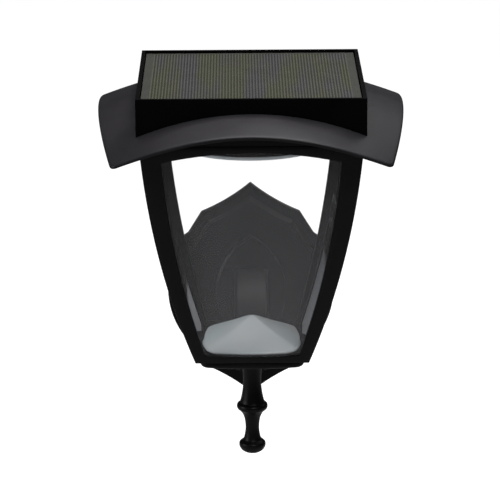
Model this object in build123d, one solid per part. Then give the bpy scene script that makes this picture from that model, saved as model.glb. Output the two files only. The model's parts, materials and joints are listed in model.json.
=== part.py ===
"""Solar wall lantern: bowed four-sided lantern body on a bracket arm and wall plate,
under a cushion-shaped roof that carries a square solar panel box.

Millimetres. The origin is the centre of the mounting face on the wall (the plane y = 0),
+X is to the right, the lantern stands out along -Y, and +Z is up.
The roof, head, body and base are symmetric about one vertical axis, so they are modelled
about that axis and moved out from the wall at the end.
"""
from build123d import *
import os
from math import cos, hypot, pi, sin, sqrt

# ------------------------------------------------------------------ driving sizes
AXIS_TO_WALL = 110.0      # lantern axis in front of the wall

# lantern body: square at every height, each side bowed outwards on one radius
BODY_TOP_Z = 151.0
BODY_TOP_HALF = 73.3
BODY_FOOT_Z = -9.0
BODY_FOOT_HALF = 38.4
BOW_RADIUS = 620.0
POST_SKIN = 3.0           # wall in front of the pane
PANE_THICKNESS = 1.5
PANE_PLAY = 0.15          # on each face of a pane, in its groove
POST_NIB = 1.2            # lip behind the pane
PANE_CORNER_GAP = 0.6     # a groove stops this far short of the next side's groove

# window in each side of the body
WINDOW_SHOULDER_DROP = 11.2   # its upper corners, below the top of the body
WINDOW_CROWN_DROP = 4.8       # its highest point, below the top of the body
POST_HEAD_WIDTH = 14.7        # between the window's upper corner and the body's top corner
WINDOW_FOOT_RISE = 6.2        # its lower corners, above the foot of the body
WINDOW_SAG_RISE = 4.5         # its lowest point, above the foot of the body
POST_FOOT_WIDTH = 6.8
PANE_SEAT_RISE = 2.5          # bottom of the groove in the lower rail

# roof: one smooth crown, falling to the eave and further to the four corners
CROWN_RISE = 31.7         # crown, above the top of the body
EAVE_OVERHANG = 28.9      # middle of the eave, beyond the body
EAVE_RISE = 13.5
EAVE_CORNER_OVERHANG = 17.7
EAVE_CORNER_DROP = 8.8    # corner of the eave, below the top of the body
EAVE_CORNER_FILLET = 6.0
ROOF_WALL = 2.5
ROOF_OPENING_INSET = 2.8  # opening under the box, inside the body's faces
RIB_WALL = 1.6            # four ribs under the corners of the eave
RIB_DEPTH = 3.5
RIB_LENGTH = 8.0
RIB_SETBACK = 14.0        # a rib ends this far inside the corner of the eave
SEAT_GAP = 0.2            # between curved faces that seat on each other

# box for the solar panel
BOX_OVERHANG = 1.7        # beyond the body
BOX_PROUD = 0.3           # rim of the box, above the crown of the roof
BOX_WALL = 2.5
PANEL_RECESS = 1.8        # panel face below the rim of the box
PANEL_THICKNESS = 3.0
PANEL_GAP = 0.3
PANEL_CHAMFER = 0.4
TAPE_THICKNESS = 0.8
TAPE_WIDTH = 4.0
TAPE_INSET = 0.5
TAPE_GAP = 0.02
LEDGE_WALL = 2.2
LEDGE_WIDTH = 6.0
SPIGOT_RISE = 7.0         # foot of the spigot, above the top of the body
SPIGOT_WALL = 2.0
HEAD_SCREW_INSET = 13.3   # the four head screws, inside the body's faces
HEAD_SCREW_BITE = 12.0    # length of each screw in its boss
HEAD_BOSS_R = 3.8
BOSS_MARGIN = 1.0         # pad round a boss

# head tray, closing the head below and plugging into the top of the body
TRAY_WALL = 2.2
TRAY_DROP = 6.5           # floor of the tray below the top of the body
TRAY_PLAY = 0.5
SKIRT_WALL = 2.4
FLANGE_GAP = 0.2
WIRE_HOLE_R = 4.0

# light unit under the tray
LENS_INSET = 18.3         # rim of the lens, inside the body's faces
LENS_WALL = 2.0
LENS_DROP = 15.9          # lowest point of the lens, below the top of the body
LENS_CROWN = 1.2          # the face of the lens bulges this much
LENS_EDGE_R = 2.6
LENS_FLANGE_LIP = 2.6     # flange beyond the rim
LENS_FLANGE = 2.0
LENS_RIB_PITCH = 5.0
LENS_RIB_DEPTH = 0.7
LENS_PLAIN_RIM = 4.0      # no ribs this close to the wall
RING_WALL = 1.8
RING_EAR_R = 4.2
RING_PLAY = 0.25
RING_SCREW_MARGIN = 1.0   # between a ring screw and the flange's room
LED_BOARD_INSET = 8.0     # edge of the LED board, inside the lens
BOARD_THICKNESS = 1.6
LED_SIZE = (3.5, 2.8, 0.8)
LED_RING_INSET = 10.0     # outer ring of LEDs, inside the edge of the board
LED_INNER_RING_R = 18.0
LED_INNER_COUNT = 8
LED_OUTER_COUNT = 16

# electronics on the tray
CELL_R = 9.2
CELL_LENGTH = 65.2
CELL_EDGE_R = 0.8
CELL_NUB_R = 3.2
CELL_NUB_LENGTH = 1.2
CELL_PLAY = 0.3
CELL_Y = -26.0
CRADLE_WALL = 1.6
CRADLE_PLAY = 0.4
CONTACT_GAP = 2.2         # room for a contact at each end of the cell
CONTACT_PLATE = (0.5, 12.0, 13.0)
CONTACT_NOSE_R = 3.0
CONTACT_NOSE_LENGTH = 1.0
CONTACT_END_GAP = 0.1
CONTROLLER_SIZE = (72.0, 36.0)
CONTROLLER_Y = 28.0
# parts on the controller board: place on the board in X and Y, then length, width and height
COIL = (-12.0, 0.0, 9.0, 9.0, 5.0)
CHIP = (8.0, 4.0, 6.0, 5.0, 1.8)
CONNECTOR = (0.0, -12.0, 14.0, 6.0, 6.0)
CAPACITOR_X = 24.0
CAPACITOR_R = 4.0
CAPACITOR_HEIGHT = 9.0
CONTROLLER_SCREW_BITE = 3.0
STANDOFF_HEIGHT = 4.0
STANDOFF_R = 2.6
STANDOFF_MARGIN = 1.0     # from a standoff to the edge of the board

# push switch in a corner of the tray
SWITCH_INSET = 17.3       # axis of the switch, inside the body's right-hand face
SWITCH_Y = 38.0
SWITCH_BODY = (12.0, 12.0, 9.0)
SWITCH_LUG = (0.8, 2.4, 4.0)
SWITCH_LUG_X = 3.0
SWITCH_CAP = 1.5          # top of the switch, above the room for its button
SWITCH_BUSH_R = 4.0
SWITCH_BUSH_PROUD = 0.6   # end of the bush, below its nut
SWITCH_NUT_AF = 10.0
SWITCH_NUT_HEIGHT = 2.0
BUTTON_R = 2.9
BUTTON_PLAY = 0.05
BUTTON_TRAVEL = 2.0
BUTTON_PROUD = 4.0
BUTTON_EDGE_R = 1.0
BUTTON_END_GAP = 0.5      # left above the button when it is pressed

# base pan, reflector and finial
FLOOR_RISE = 4.1          # above the foot of the body
PAN_DEPTH = 5.0           # below the foot of the body
PAN_INSET = 0.6           # middle of the pan's side, inside the body's foot
PAN_CORNER_INSET = 4.4
PAN_CORNER_FILLET = 7.0
PAN_EDGE_R = 2.4
PAN_SCREW_INSET = 11.4    # the four pan screws, inside the body's faces
LUG_BEHIND_SCREW = 8.0    # a corner lug fills x + y down to this much inside its screw
LUG_HEIGHT = 3.8
REFLECTOR_INSET = 5.2     # middle of the reflector's side, inside the body's foot
REFLECTOR_CORNER_INSET = 8.8
REFLECTOR_CORNER_FILLET = 9.0
REFLECTOR_HEIGHT = 18.0
REFLECTOR_TIP_R = 3.0
REFLECTOR_WALL = 1.4
FINIAL_TOP_R = 9.0
FINIAL_LENGTH = 68.6
# finial, each as radius and distance below its top face
FINIAL_NECK = (6.4, 17.6)
FINIAL_UPPER_BEAD = ((8.2, 30.6), (10.7, 34.1), (8.6, 37.6))
FINIAL_WAIST = (4.7, 48.6)
FINIAL_LOWER_BEAD = ((5.9, 58.0), (9.2, 62.2), (7.6, 66.0))
STUD_R = 2.9
STUD_PLAY = 0.1
STUD_IN_FINIAL = 24.0
STUD_PROUD = 1.5          # above its nut
NUT_AF = 10.0
NUT_HEIGHT = 4.2
WASHER_R = 6.6
WASHER_THICKNESS = 1.2

# wall plate
PLATE_APEX_Z = 79.0
PLATE_SHOULDER = (35.3, 57.5)
PLATE_SIDE = (52.0, 30.5)
PLATE_BULGE_HALF = 60.0
PLATE_OGEE = 1.6          # the edge from apex to shoulder is hollow by this much
PLATE_FLANGE_WIDTH = 7.0
PLATE_FLANGE_DEPTH = 5.5
PLATE_DEPTH = 10.0
PLATE_BEVEL = 28.0        # degrees, side of the raised panel
PLATE_CHAMFER = 0.8
PLATE_WALL = 2.5
PLATE_OFF_WALL = 0.2

# bracket arm with its pointed-oval boss
BOSS_HALF_HEIGHT = 42.0
BOSS_HALF_WIDTH = 25.0
BOSS_DEPTH = 5.0
BOSS_CHAMFER = 1.2
ARM_WIDTH = 24.0
ARM_ROOT_TOP_Z = 19.0
ARM_ROOT_FOOT_Z = -23.0
ARM_NOSE_RISE = 4.0       # top of the arm's nose, above the foot of the body
ARM_TOP_BOW = 4.0
ARM_BELLY_BOW = 1.5
ARM_IN_BOSS = 1.0
ARM_BEHIND_BODY = 2.0     # gap between the arm's nose and the body above the tongue
ARM_EDGE_R = 3.0
TONGUE_ROOT = 4.0         # the tongue starts this far inside the arm's nose
TONGUE_R = 14.0
TONGUE_THICKNESS = 4.0
JOINT_GAP = 0.2           # between flat faces that are clamped together
ARM_SCREW_HALF = 28.0     # the two arm screws, above and below the origin
ARM_HOLE_SKIN = 1.5       # of the boss, left closed over the holes for them
ARM_SCREW_END_GAP = 0.5

# hanger bar, fixed to the wall, that the wall plate hooks on to
HANGER_WIDTH = 20.0
HANGER_HALF_HEIGHT = 46.0
HANGER_WALL = 1.5
HANGER_CORNER_R = 4.0
WALL_SCREW_HOLE_R = 2.25
WALL_SCREW_HALF = 36.0    # the two wall screws, above and below the origin
UPPER_HOOK_Z = 6.0
LOWER_HOOK_Z = -14.0
HOOK_INSET = 2.0          # side of a hook, inside the side of the bar
HOOK_REACH = 4.0
HOOK_LIP = 6.0
HOOK_GAP = 0.3
HANG_WALL = 1.9           # the two hanging strips behind the plate
HANG_WEB = 2.0            # web that joins each of them to the plate
HANG_WIDTH = 30.0

# screws: (head radius, head height, shank radius)
SCREW_M3 = (2.7, 1.8, 1.35)
SCREW_M4 = (3.5, 2.2, 1.8)
SCREW_PLAY = 0.05         # shank in the hole that it cuts its thread in
HOLE_PLAY = 0.25          # shank in a clearance hole
SCREW_END_GAP = 0.2
HOLE_SPARE = 2.0          # depth of a blind hole beyond the end of its screw
SEAT = 0.05               # between small parts that rest on each other

# ------------------------------------------------------------------ derived sizes
CROWN_Z = BODY_TOP_Z + CROWN_RISE
EAVE_MID_HALF = BODY_TOP_HALF + EAVE_OVERHANG
EAVE_MID_Z = BODY_TOP_Z + EAVE_RISE
EAVE_CORNER_HALF = BODY_TOP_HALF + EAVE_CORNER_OVERHANG
EAVE_CORNER_Z = BODY_TOP_Z - EAVE_CORNER_DROP
ROOF_OPENING_HALF = BODY_TOP_HALF - ROOF_OPENING_INSET
BOX_HALF = BODY_TOP_HALF + BOX_OVERHANG
BOX_TOP_Z = CROWN_Z + BOX_PROUD
SPIGOT_FOOT_Z = BODY_TOP_Z + SPIGOT_RISE
HEAD_SCREW_HALF = BODY_TOP_HALF - HEAD_SCREW_INSET
WINDOW_SHOULDER_Z = BODY_TOP_Z - WINDOW_SHOULDER_DROP
WINDOW_SHOULDER_HALF = BODY_TOP_HALF - POST_HEAD_WIDTH
WINDOW_CROWN_Z = BODY_TOP_Z - WINDOW_CROWN_DROP
WINDOW_FOOT_Z = BODY_FOOT_Z + WINDOW_FOOT_RISE
WINDOW_FOOT_HALF = BODY_FOOT_HALF - POST_FOOT_WIDTH
WINDOW_SAG_Z = BODY_FOOT_Z + WINDOW_SAG_RISE
PANE_SEAT_Z = BODY_FOOT_Z + PANE_SEAT_RISE
GROOVE_DEPTH = PANE_THICKNESS + 2 * PANE_PLAY
BODY_WALL = POST_SKIN + GROOVE_DEPTH + POST_NIB
LENS_R = BODY_TOP_HALF - LENS_INSET
LENS_FOOT_Z = BODY_TOP_Z - LENS_DROP
LENS_FLANGE_R = LENS_R + LENS_FLANGE_LIP
LED_BOARD_R = LENS_R - LED_BOARD_INSET
LED_OUTER_RING_R = LED_BOARD_R - LED_RING_INSET
SWITCH_X = BODY_TOP_HALF - SWITCH_INSET
FLOOR_Z = BODY_FOOT_Z + FLOOR_RISE
PAN_FOOT_Z = BODY_FOOT_Z - PAN_DEPTH
PAN_MID_HALF = BODY_FOOT_HALF - PAN_INSET
PAN_CORNER_HALF = BODY_FOOT_HALF - PAN_CORNER_INSET
PAN_SCREW_HALF = BODY_FOOT_HALF - PAN_SCREW_INSET
LUG_REACH = 2 * PAN_SCREW_HALF - LUG_BEHIND_SCREW
REFLECTOR_MID_HALF = BODY_FOOT_HALF - REFLECTOR_INSET
REFLECTOR_CORNER_HALF = BODY_FOOT_HALF - REFLECTOR_CORNER_INSET
ARM_NOSE_TOP_Z = BODY_FOOT_Z + ARM_NOSE_RISE
HOOK_LEVELS = (UPPER_HOOK_Z, LOWER_HOOK_Z)
TRAY_FLOOR_Z = BODY_TOP_Z - TRAY_DROP
TRAY_TOP_Z = TRAY_FLOOR_Z + TRAY_WALL
FLANGE_Z = BODY_TOP_Z + FLANGE_GAP
PANEL_TOP_Z = BOX_TOP_Z - PANEL_RECESS
LEDGE_TOP_Z = PANEL_TOP_Z - PANEL_THICKNESS - TAPE_THICKNESS
LEDGE_FOOT_Z = LEDGE_TOP_Z - LEDGE_WALL
BOX_INNER_HALF = BOX_HALF - BOX_WALL
TONGUE_TOP_Z = PAN_FOOT_Z - JOINT_GAP
TONGUE_FOOT_Z = TONGUE_TOP_Z - TONGUE_THICKNESS
FINIAL_TOP_Z = TONGUE_FOOT_Z - JOINT_GAP
BOARD_TOP_Z = TRAY_FLOOR_Z - JOINT_GAP
LED_BOARD_FOOT_Z = BOARD_TOP_Z - BOARD_THICKNESS
CUT_REACH = 2 * EAVE_MID_HALF   # longer than anything that it cuts


# ------------------------------------------------------------------ shared forms
def mid_bow(start, end, bow):
    """Point at the middle of a chord, moved to its right-hand side by bow."""
    length = hypot(end[0] - start[0], end[1] - start[1])
    across = (end[1] - start[1]) / length, -(end[0] - start[0]) / length
    return (start[0] + end[0]) / 2 + bow * across[0], (start[1] + end[1]) / 2 + bow * across[1]


def cap_arc(rim, apex):
    """Arc from a rim point to an apex on the axis, square to the axis there."""
    drop = apex[1] - rim[1]
    radius = (rim[0] ** 2 + drop ** 2) / (2 * abs(drop))
    bow = sagitta(rim, apex, radius)
    side = 1 if mid_bow(rim, apex, bow)[0] > rim[0] / 2 else -1
    return ThreePointArc(rim, mid_bow(rim, apex, side * bow), apex)


def sagitta(start, end, radius):
    """Height of an arc of the given radius over its chord."""
    half_chord = hypot(end[0] - start[0], end[1] - start[1]) / 2
    return radius - sqrt(radius ** 2 - half_chord ** 2)


def bow_centre():
    """Centre, in X and Z, of the arc that bows the right-hand side of the body."""
    foot, top = (BODY_FOOT_HALF, BODY_FOOT_Z), (BODY_TOP_HALF, BODY_TOP_Z)
    return mid_bow(foot, top, sagitta(foot, top, BOW_RADIUS) - BOW_RADIUS)


def body_half(z, inset=0.0):
    """Half width of the body at height z, measured to a surface inset from its face."""
    x, centre_z = bow_centre()
    return x + sqrt((BOW_RADIUS - inset) ** 2 - (z - centre_z) ** 2)


def bowed_prism(inset, foot_z, top_z, turn=0):
    """Prism between the two bowed sides of the body, endless along Y when turn is 0."""
    levels = foot_z, (foot_z + top_z) / 2, top_z
    right = [(body_half(z, inset), z) for z in levels]
    left = [(-x, z) for x, z in right]
    outline = [
        Line(left[0], right[0]),
        ThreePointArc(*right),
        Line(right[2], left[2]),
        ThreePointArc(*reversed(left)),
    ]
    face = Plane.XZ * make_face(outline)
    return Rot(0, 0, turn) * extrude(face, CUT_REACH, both=True)


def bowed_block(inset, foot_z, top_z):
    """Square block whose four sides follow the bow of the body."""
    return bowed_prism(inset, foot_z, top_z) & bowed_prism(inset, foot_z, top_z, turn=90)


def square_block(half, foot_z, top_z):
    """Plain square block about the lantern axis."""
    return Pos(0, 0, foot_z) * extrude(Rectangle(2 * half, 2 * half), top_z - foot_z)


def square_ring(outer_half, inner_half, foot_z, top_z):
    """Square ring about the lantern axis."""
    return square_block(outer_half, foot_z, top_z) - square_block(inner_half, foot_z, top_z)


def cushion(mid_half, corner_half, corner_fillet):
    """Square face with bulging sides and rounded corners."""
    corners = [(-1, -1), (1, -1), (1, 1), (-1, 1)]
    middles = [(0, -1), (1, 0), (0, 1), (-1, 0)]
    sides = []
    for i in range(4):
        start = tuple(corner_half * c for c in corners[i])
        end = tuple(corner_half * c for c in corners[(i + 1) % 4])
        middle = tuple(mid_half * m for m in middles[i])
        sides.append(ThreePointArc(start, middle, end))
    face = make_face(sides)
    return fillet(face.vertices(), corner_fillet)


def diamond(reach, foot_z, top_z):
    """Upright block where |x| + |y| is less than reach."""
    return Rot(0, 0, 45) * square_block(reach / sqrt(2), foot_z, top_z)


def disc(radius, foot_z, top_z):
    """Upright cylinder about the lantern axis."""
    return Pos(0, 0, foot_z) * extrude(Circle(radius), top_z - foot_z)


def pipe(outer_r, inner_r, foot_z, top_z):
    """Upright ring about the lantern axis."""
    return disc(outer_r, foot_z, top_z) - disc(inner_r, foot_z, top_z)


def hex_nut(across_flats, hole_r, foot_z, height):
    """Hexagon nut about the lantern axis."""
    hexagon = RegularPolygon(across_flats / 2, 6, major_radius=False) - Circle(hole_r)
    return Pos(0, 0, foot_z) * extrude(hexagon, height)


def screw(size, length):
    """Pan-head screw: the head under z = 0 and the shank above it, with a cross recess."""
    head_r, head_height, shank_r = size
    head = Pos(0, 0, -head_height) * extrude(Circle(head_r), head_height)
    head = fillet(head.edges().group_by(Axis.Z)[0], head_height * 0.45)
    slot = Box(head_r * 1.2, head_height * 0.35, head_height * 0.5)
    recess = Pos(0, 0, -head_height) * (slot + Rot(0, 0, 90) * slot)
    return head - recess + extrude(Circle(shank_r), length)


def at_four(half):
    """Four places, one in each quadrant."""
    return [Pos(sx * half, sy * half, 0) for sx in (-1, 1) for sy in (-1, 1)]


def solids_of(shape):
    """Compound of separate solids, for a node that holds several pieces."""
    return Compound(children=list(shape))


# ------------------------------------------------------------------ roof surface
def roof_skin(lift):
    """Crown of the roof as one Bezier patch of degree two each way, raised by lift.

    z = crown - fall (x^2 + y^2) - droop x^2 y^2 is exact in such a patch. On -L..L the
    square x^2 has the three control values L^2, -L^2, L^2.
    """
    fall = (CROWN_Z - EAVE_MID_Z) / EAVE_MID_HALF ** 2
    corner = EAVE_CORNER_HALF ** 2
    droop = (CROWN_Z - 2 * fall * corner - EAVE_CORNER_Z) / corner ** 2
    reach = EAVE_MID_HALF + 1
    steps = ((-reach, reach ** 2), (0, -reach ** 2), (reach, reach ** 2))
    grid = [
        [Vector(x, y, CROWN_Z - fall * (xx + yy) - droop * xx * yy + lift) for y, yy in steps]
        for x, xx in steps
    ]
    return Face.make_bezier_surface(grid)


def below_roof(lift):
    """Everything under the crown of the roof, raised by lift."""
    return Solid.extrude(roof_skin(lift), Vector(0, 0, -CUT_REACH))


def above_roof(lift):
    """Everything over the crown of the roof, raised by lift."""
    return Solid.extrude(roof_skin(lift), Vector(0, 0, CUT_REACH))


# ------------------------------------------------------------------ lantern body
def window_prism(turn):
    """Window through two opposite sides: bowed sides, arched head, sagging sill."""
    foot = (WINDOW_FOOT_HALF, WINDOW_FOOT_Z)
    shoulder = (WINDOW_SHOULDER_HALF, WINDOW_SHOULDER_Z)
    side = mid_bow(foot, shoulder, sagitta(foot, shoulder, BOW_RADIUS))
    outline = [
        ThreePointArc((-foot[0], foot[1]), (0, WINDOW_SAG_Z), foot),
        ThreePointArc(foot, side, shoulder),
        ThreePointArc(shoulder, (0, WINDOW_CROWN_Z), (-shoulder[0], shoulder[1])),
        ThreePointArc((-shoulder[0], shoulder[1]), (-side[0], side[1]), (-foot[0], foot[1])),
    ]
    return Rot(0, 0, turn) * extrude(Plane.XZ * make_face(outline), CUT_REACH, both=True)


def pane_slab(play, foot_z, top_z, turn):
    """Bowed slabs, front and back, that lie where the panes lie; play widens them."""
    near, far = POST_SKIN + PANE_PLAY - play, POST_SKIN + PANE_PLAY + PANE_THICKNESS + play
    shell = bowed_prism(near, foot_z, top_z, turn + 90) - bowed_prism(far, foot_z, top_z, turn + 90)
    edge = POST_SKIN + GROOVE_DEPTH + PANE_CORNER_GAP + (PANE_PLAY - play)
    return shell & bowed_prism(edge, foot_z, top_z, turn)


def make_cage():
    cage = bowed_block(0, BODY_FOOT_Z, BODY_TOP_Z)
    cage -= bowed_block(BODY_WALL, BODY_FOOT_Z - 1, BODY_TOP_Z + 1)
    for turn in (0, 90):
        cage -= window_prism(turn)
        cage -= pane_slab(PANE_PLAY, PANE_SEAT_Z, BODY_TOP_Z + 1, turn)
    lug_top = BODY_FOOT_Z + LUG_HEIGHT
    lugs = bowed_block(BODY_WALL - POST_NIB / 2, BODY_FOOT_Z, lug_top)
    lugs -= diamond(LUG_REACH, BODY_FOOT_Z, lug_top)
    cage += lugs
    for place in at_four(PAN_SCREW_HALF):
        cage -= place * disc(SCREW_M3[2] + SCREW_PLAY, BODY_FOOT_Z - 1, lug_top + 1)
    return cage


def make_panes():
    """The four clear panes, by name."""
    foot_z, top_z = PANE_SEAT_Z + PANE_PLAY, BODY_TOP_Z - PANE_PLAY
    names = {0: ("pane_back", "pane_front"), 90: ("pane_left", "pane_right")}
    panes = {}
    for turn, pair in names.items():
        slabs = pane_slab(0, foot_z, top_z, turn).solids()
        axis = Axis.Y if turn == 0 else Axis.X
        slabs = slabs.sort_by(axis, reverse=(turn == 0))
        panes.update(zip(pair, slabs))
    return panes


# ------------------------------------------------------------------ base
def make_base_pan():
    flange_top = BODY_FOOT_Z - FLANGE_GAP
    plan = cushion(PAN_MID_HALF, PAN_CORNER_HALF, PAN_CORNER_FILLET)
    pan = Pos(0, 0, PAN_FOOT_Z) * extrude(plan, flange_top - PAN_FOOT_Z)
    pan = fillet(pan.edges().group_by(Axis.Z)[0], PAN_EDGE_R)
    spigot_half = body_half(BODY_FOOT_Z, BODY_WALL) - TRAY_PLAY
    spigot = square_block(spigot_half, flange_top, FLOOR_Z)
    pan += spigot & diamond(LUG_REACH - TRAY_PLAY, flange_top, FLOOR_Z)
    for place in at_four(PAN_SCREW_HALF):
        pan -= place * disc(SCREW_M3[2] + HOLE_PLAY, PAN_FOOT_Z - 1, FLOOR_Z + 1)
        pan -= place * disc(SCREW_M3[0] + HOLE_PLAY, PAN_FOOT_Z - 1, PAN_FOOT_Z + SCREW_M3[1])
    pan -= disc(STUD_R + HOLE_PLAY, PAN_FOOT_Z - 1, FLOOR_Z + 1)
    return pan


def make_pan_screws():
    seat_z = PAN_FOOT_Z + SCREW_M3[1]
    one = Pos(0, 0, seat_z) * screw(SCREW_M3, BODY_FOOT_Z + LUG_HEIGHT - seat_z - 0.3)
    return solids_of([place * one for place in at_four(PAN_SCREW_HALF)])


def make_reflector():
    """White pyramid with bulging sides and a soft tip, hollow below."""
    foot_z = FLOOR_Z + SEAT_GAP

    def cone(shrink, height):
        plan = cushion(
            REFLECTOR_MID_HALF - shrink,
            REFLECTOR_CORNER_HALF - shrink,
            REFLECTOR_CORNER_FILLET - shrink,
        )
        tip = cushion(REFLECTOR_TIP_R, REFLECTOR_TIP_R * 0.9, REFLECTOR_TIP_R * 0.4)
        return Pos(0, 0, foot_z) * loft([plan, Pos(0, 0, height) * tip])

    shell = cone(0, REFLECTOR_HEIGHT)
    shell -= cone(REFLECTOR_WALL * 1.8, REFLECTOR_HEIGHT - REFLECTOR_WALL * 1.4)
    return shell


def make_finial():
    """Turned drop finial: hollow neck, upper bead, waist, lower bead and rounded foot."""
    top = FINIAL_TOP_Z
    rim, foot = (FINIAL_TOP_R, top), (0, top - FINIAL_LENGTH)

    def at(radius_and_drop):
        radius, drop = radius_and_drop
        return radius, top - drop

    neck, waist = at(FINIAL_NECK), at(FINIAL_WAIST)
    upper = [at(point) for point in FINIAL_UPPER_BEAD]
    lower = [at(point) for point in FINIAL_LOWER_BEAD]
    profile = [
        Line((0, top), rim),
        Spline(rim, neck, upper[0], tangents=((-0.35, -1), (0.7, -1))),
        ThreePointArc(*upper),
        Spline(upper[2], waist, lower[0], tangents=((-0.9, -1), (0.3, -1))),
        ThreePointArc(*lower),
        cap_arc(lower[2], foot),
        Line(foot, (0, top)),
    ]
    finial = revolve(Plane.XZ * make_face(profile), Axis.Z)
    return finial - disc(STUD_R + STUD_PLAY, top - STUD_IN_FINIAL - HOLE_SPARE / 2, top + 1)


def make_stud():
    return disc(STUD_R, FINIAL_TOP_Z - STUD_IN_FINIAL, nut_foot_z() + NUT_HEIGHT + STUD_PROUD)


def nut_foot_z():
    return FLOOR_Z + WASHER_THICKNESS + 2 * SEAT


def make_nut():
    return hex_nut(NUT_AF, STUD_R + STUD_PLAY, nut_foot_z(), NUT_HEIGHT)


def make_washer():
    foot_z = FLOOR_Z + SEAT
    return pipe(WASHER_R, STUD_R + HOLE_PLAY, foot_z, foot_z + WASHER_THICKNESS)


# ------------------------------------------------------------------ head
def make_roof_shell():
    plan = extrude(cushion(EAVE_MID_HALF, EAVE_CORNER_HALF, EAVE_CORNER_FILLET), CUT_REACH * 1.5)
    shell = (below_roof(0) - below_roof(-ROOF_WALL)) & plan
    shell -= square_block(ROOF_OPENING_HALF, 0, CUT_REACH * 1.5)
    end = EAVE_CORNER_HALF * sqrt(2) - RIB_SETBACK
    bar = Pos(end - RIB_LENGTH / 2, 0, 0) * Box(RIB_LENGTH, RIB_WALL, CUT_REACH * 2)
    band = below_roof(-ROOF_WALL) - below_roof(-ROOF_WALL - RIB_DEPTH)
    for angle in (45, 135, 225, 315):
        shell += (Rot(0, 0, angle) * bar) & band
    return shell


def make_panel_housing():
    """Box whose lower edge follows the roof, with a ledge, a spigot and screw bosses."""
    walls = square_ring(BOX_HALF, BOX_INNER_HALF, BODY_FOOT_Z, BOX_TOP_Z) & above_roof(SEAT_GAP)
    ledge = square_ring(BOX_INNER_HALF, BOX_INNER_HALF - LEDGE_WIDTH, LEDGE_FOOT_Z, LEDGE_TOP_Z)
    spigot_half = ROOF_OPENING_HALF - SEAT_GAP
    spigot = square_ring(spigot_half, spigot_half - SPIGOT_WALL, SPIGOT_FOOT_Z, LEDGE_FOOT_Z)
    housing = walls + ledge + spigot
    corner = BOX_INNER_HALF - HEAD_SCREW_HALF + HEAD_BOSS_R + BOSS_MARGIN
    foot_z = TRAY_TOP_Z + JOINT_GAP
    for sx in (-1, 1):
        for sy in (-1, 1):
            middle = BOX_INNER_HALF - corner / 2
            pad = Pos(sx * middle, sy * middle, LEDGE_FOOT_Z + LEDGE_WALL / 2)
            housing += pad * Box(corner, corner, LEDGE_WALL)
    for place in at_four(HEAD_SCREW_HALF):
        housing += place * disc(HEAD_BOSS_R, foot_z, LEDGE_FOOT_Z)
        housing -= place * disc(SCREW_M3[2] + SCREW_PLAY, foot_z - 1, foot_z + HEAD_SCREW_BITE + HOLE_SPARE)
    return housing


def make_solar_laminate():
    half = BOX_INNER_HALF - PANEL_GAP
    panel = square_block(half, PANEL_TOP_Z - PANEL_THICKNESS, PANEL_TOP_Z)
    return chamfer(panel.edges().group_by(Axis.Z)[-1], PANEL_CHAMFER)


def make_panel_tape():
    half = BOX_INNER_HALF - PANEL_GAP - TAPE_INSET
    foot_z, top_z = LEDGE_TOP_Z + TAPE_GAP, LEDGE_TOP_Z + TAPE_THICKNESS - TAPE_GAP
    return square_ring(half, half - TAPE_WIDTH, foot_z, top_z)


def make_head_tray():
    """Dish that plugs into the body, a flange on its top edge and a skirt up to the roof."""
    spigot_half = body_half(TRAY_FLOOR_Z, BODY_WALL) - TRAY_PLAY
    tray = square_block(spigot_half, TRAY_FLOOR_Z, FLANGE_Z + TRAY_WALL)
    tray += bowed_block(0, FLANGE_Z, FLANGE_Z + TRAY_WALL)
    skirt = bowed_block(0, FLANGE_Z, CROWN_Z) - bowed_block(SKIRT_WALL, FLANGE_Z - 1, CROWN_Z + 1)
    tray += skirt & below_roof(-ROOF_WALL - SEAT_GAP)
    tray -= square_block(spigot_half - TRAY_WALL, TRAY_TOP_Z, CROWN_Z)
    for place in controller_places():
        tray += place * disc(STANDOFF_R, TRAY_TOP_Z, TRAY_TOP_Z + STANDOFF_HEIGHT)
        hole = disc(SCREW_M3[2] + SCREW_PLAY, TRAY_TOP_Z + SEAT, TRAY_TOP_Z + STANDOFF_HEIGHT + 1)
        tray -= place * hole
    for place in at_four(HEAD_SCREW_HALF):
        tray -= place * disc(SCREW_M3[2] + HOLE_PLAY, TRAY_FLOOR_Z - 1, TRAY_TOP_Z + 1)
    for place in ring_screw_places():
        tray -= place * disc(SCREW_M3[2] + SCREW_PLAY, TRAY_FLOOR_Z - 1, TRAY_TOP_Z + 1)
    tray -= switch_place() * disc(SWITCH_BUSH_R + HOLE_PLAY, TRAY_FLOOR_Z - 1, TRAY_TOP_Z + 1)
    tray -= disc(WIRE_HOLE_R, TRAY_FLOOR_Z - 1, TRAY_TOP_Z + 1)
    return tray


def make_head_screws():
    one = Pos(0, 0, TRAY_FLOOR_Z) * screw(SCREW_M3, TRAY_WALL + HEAD_SCREW_BITE)
    return solids_of([place * one for place in at_four(HEAD_SCREW_HALF)])


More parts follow.
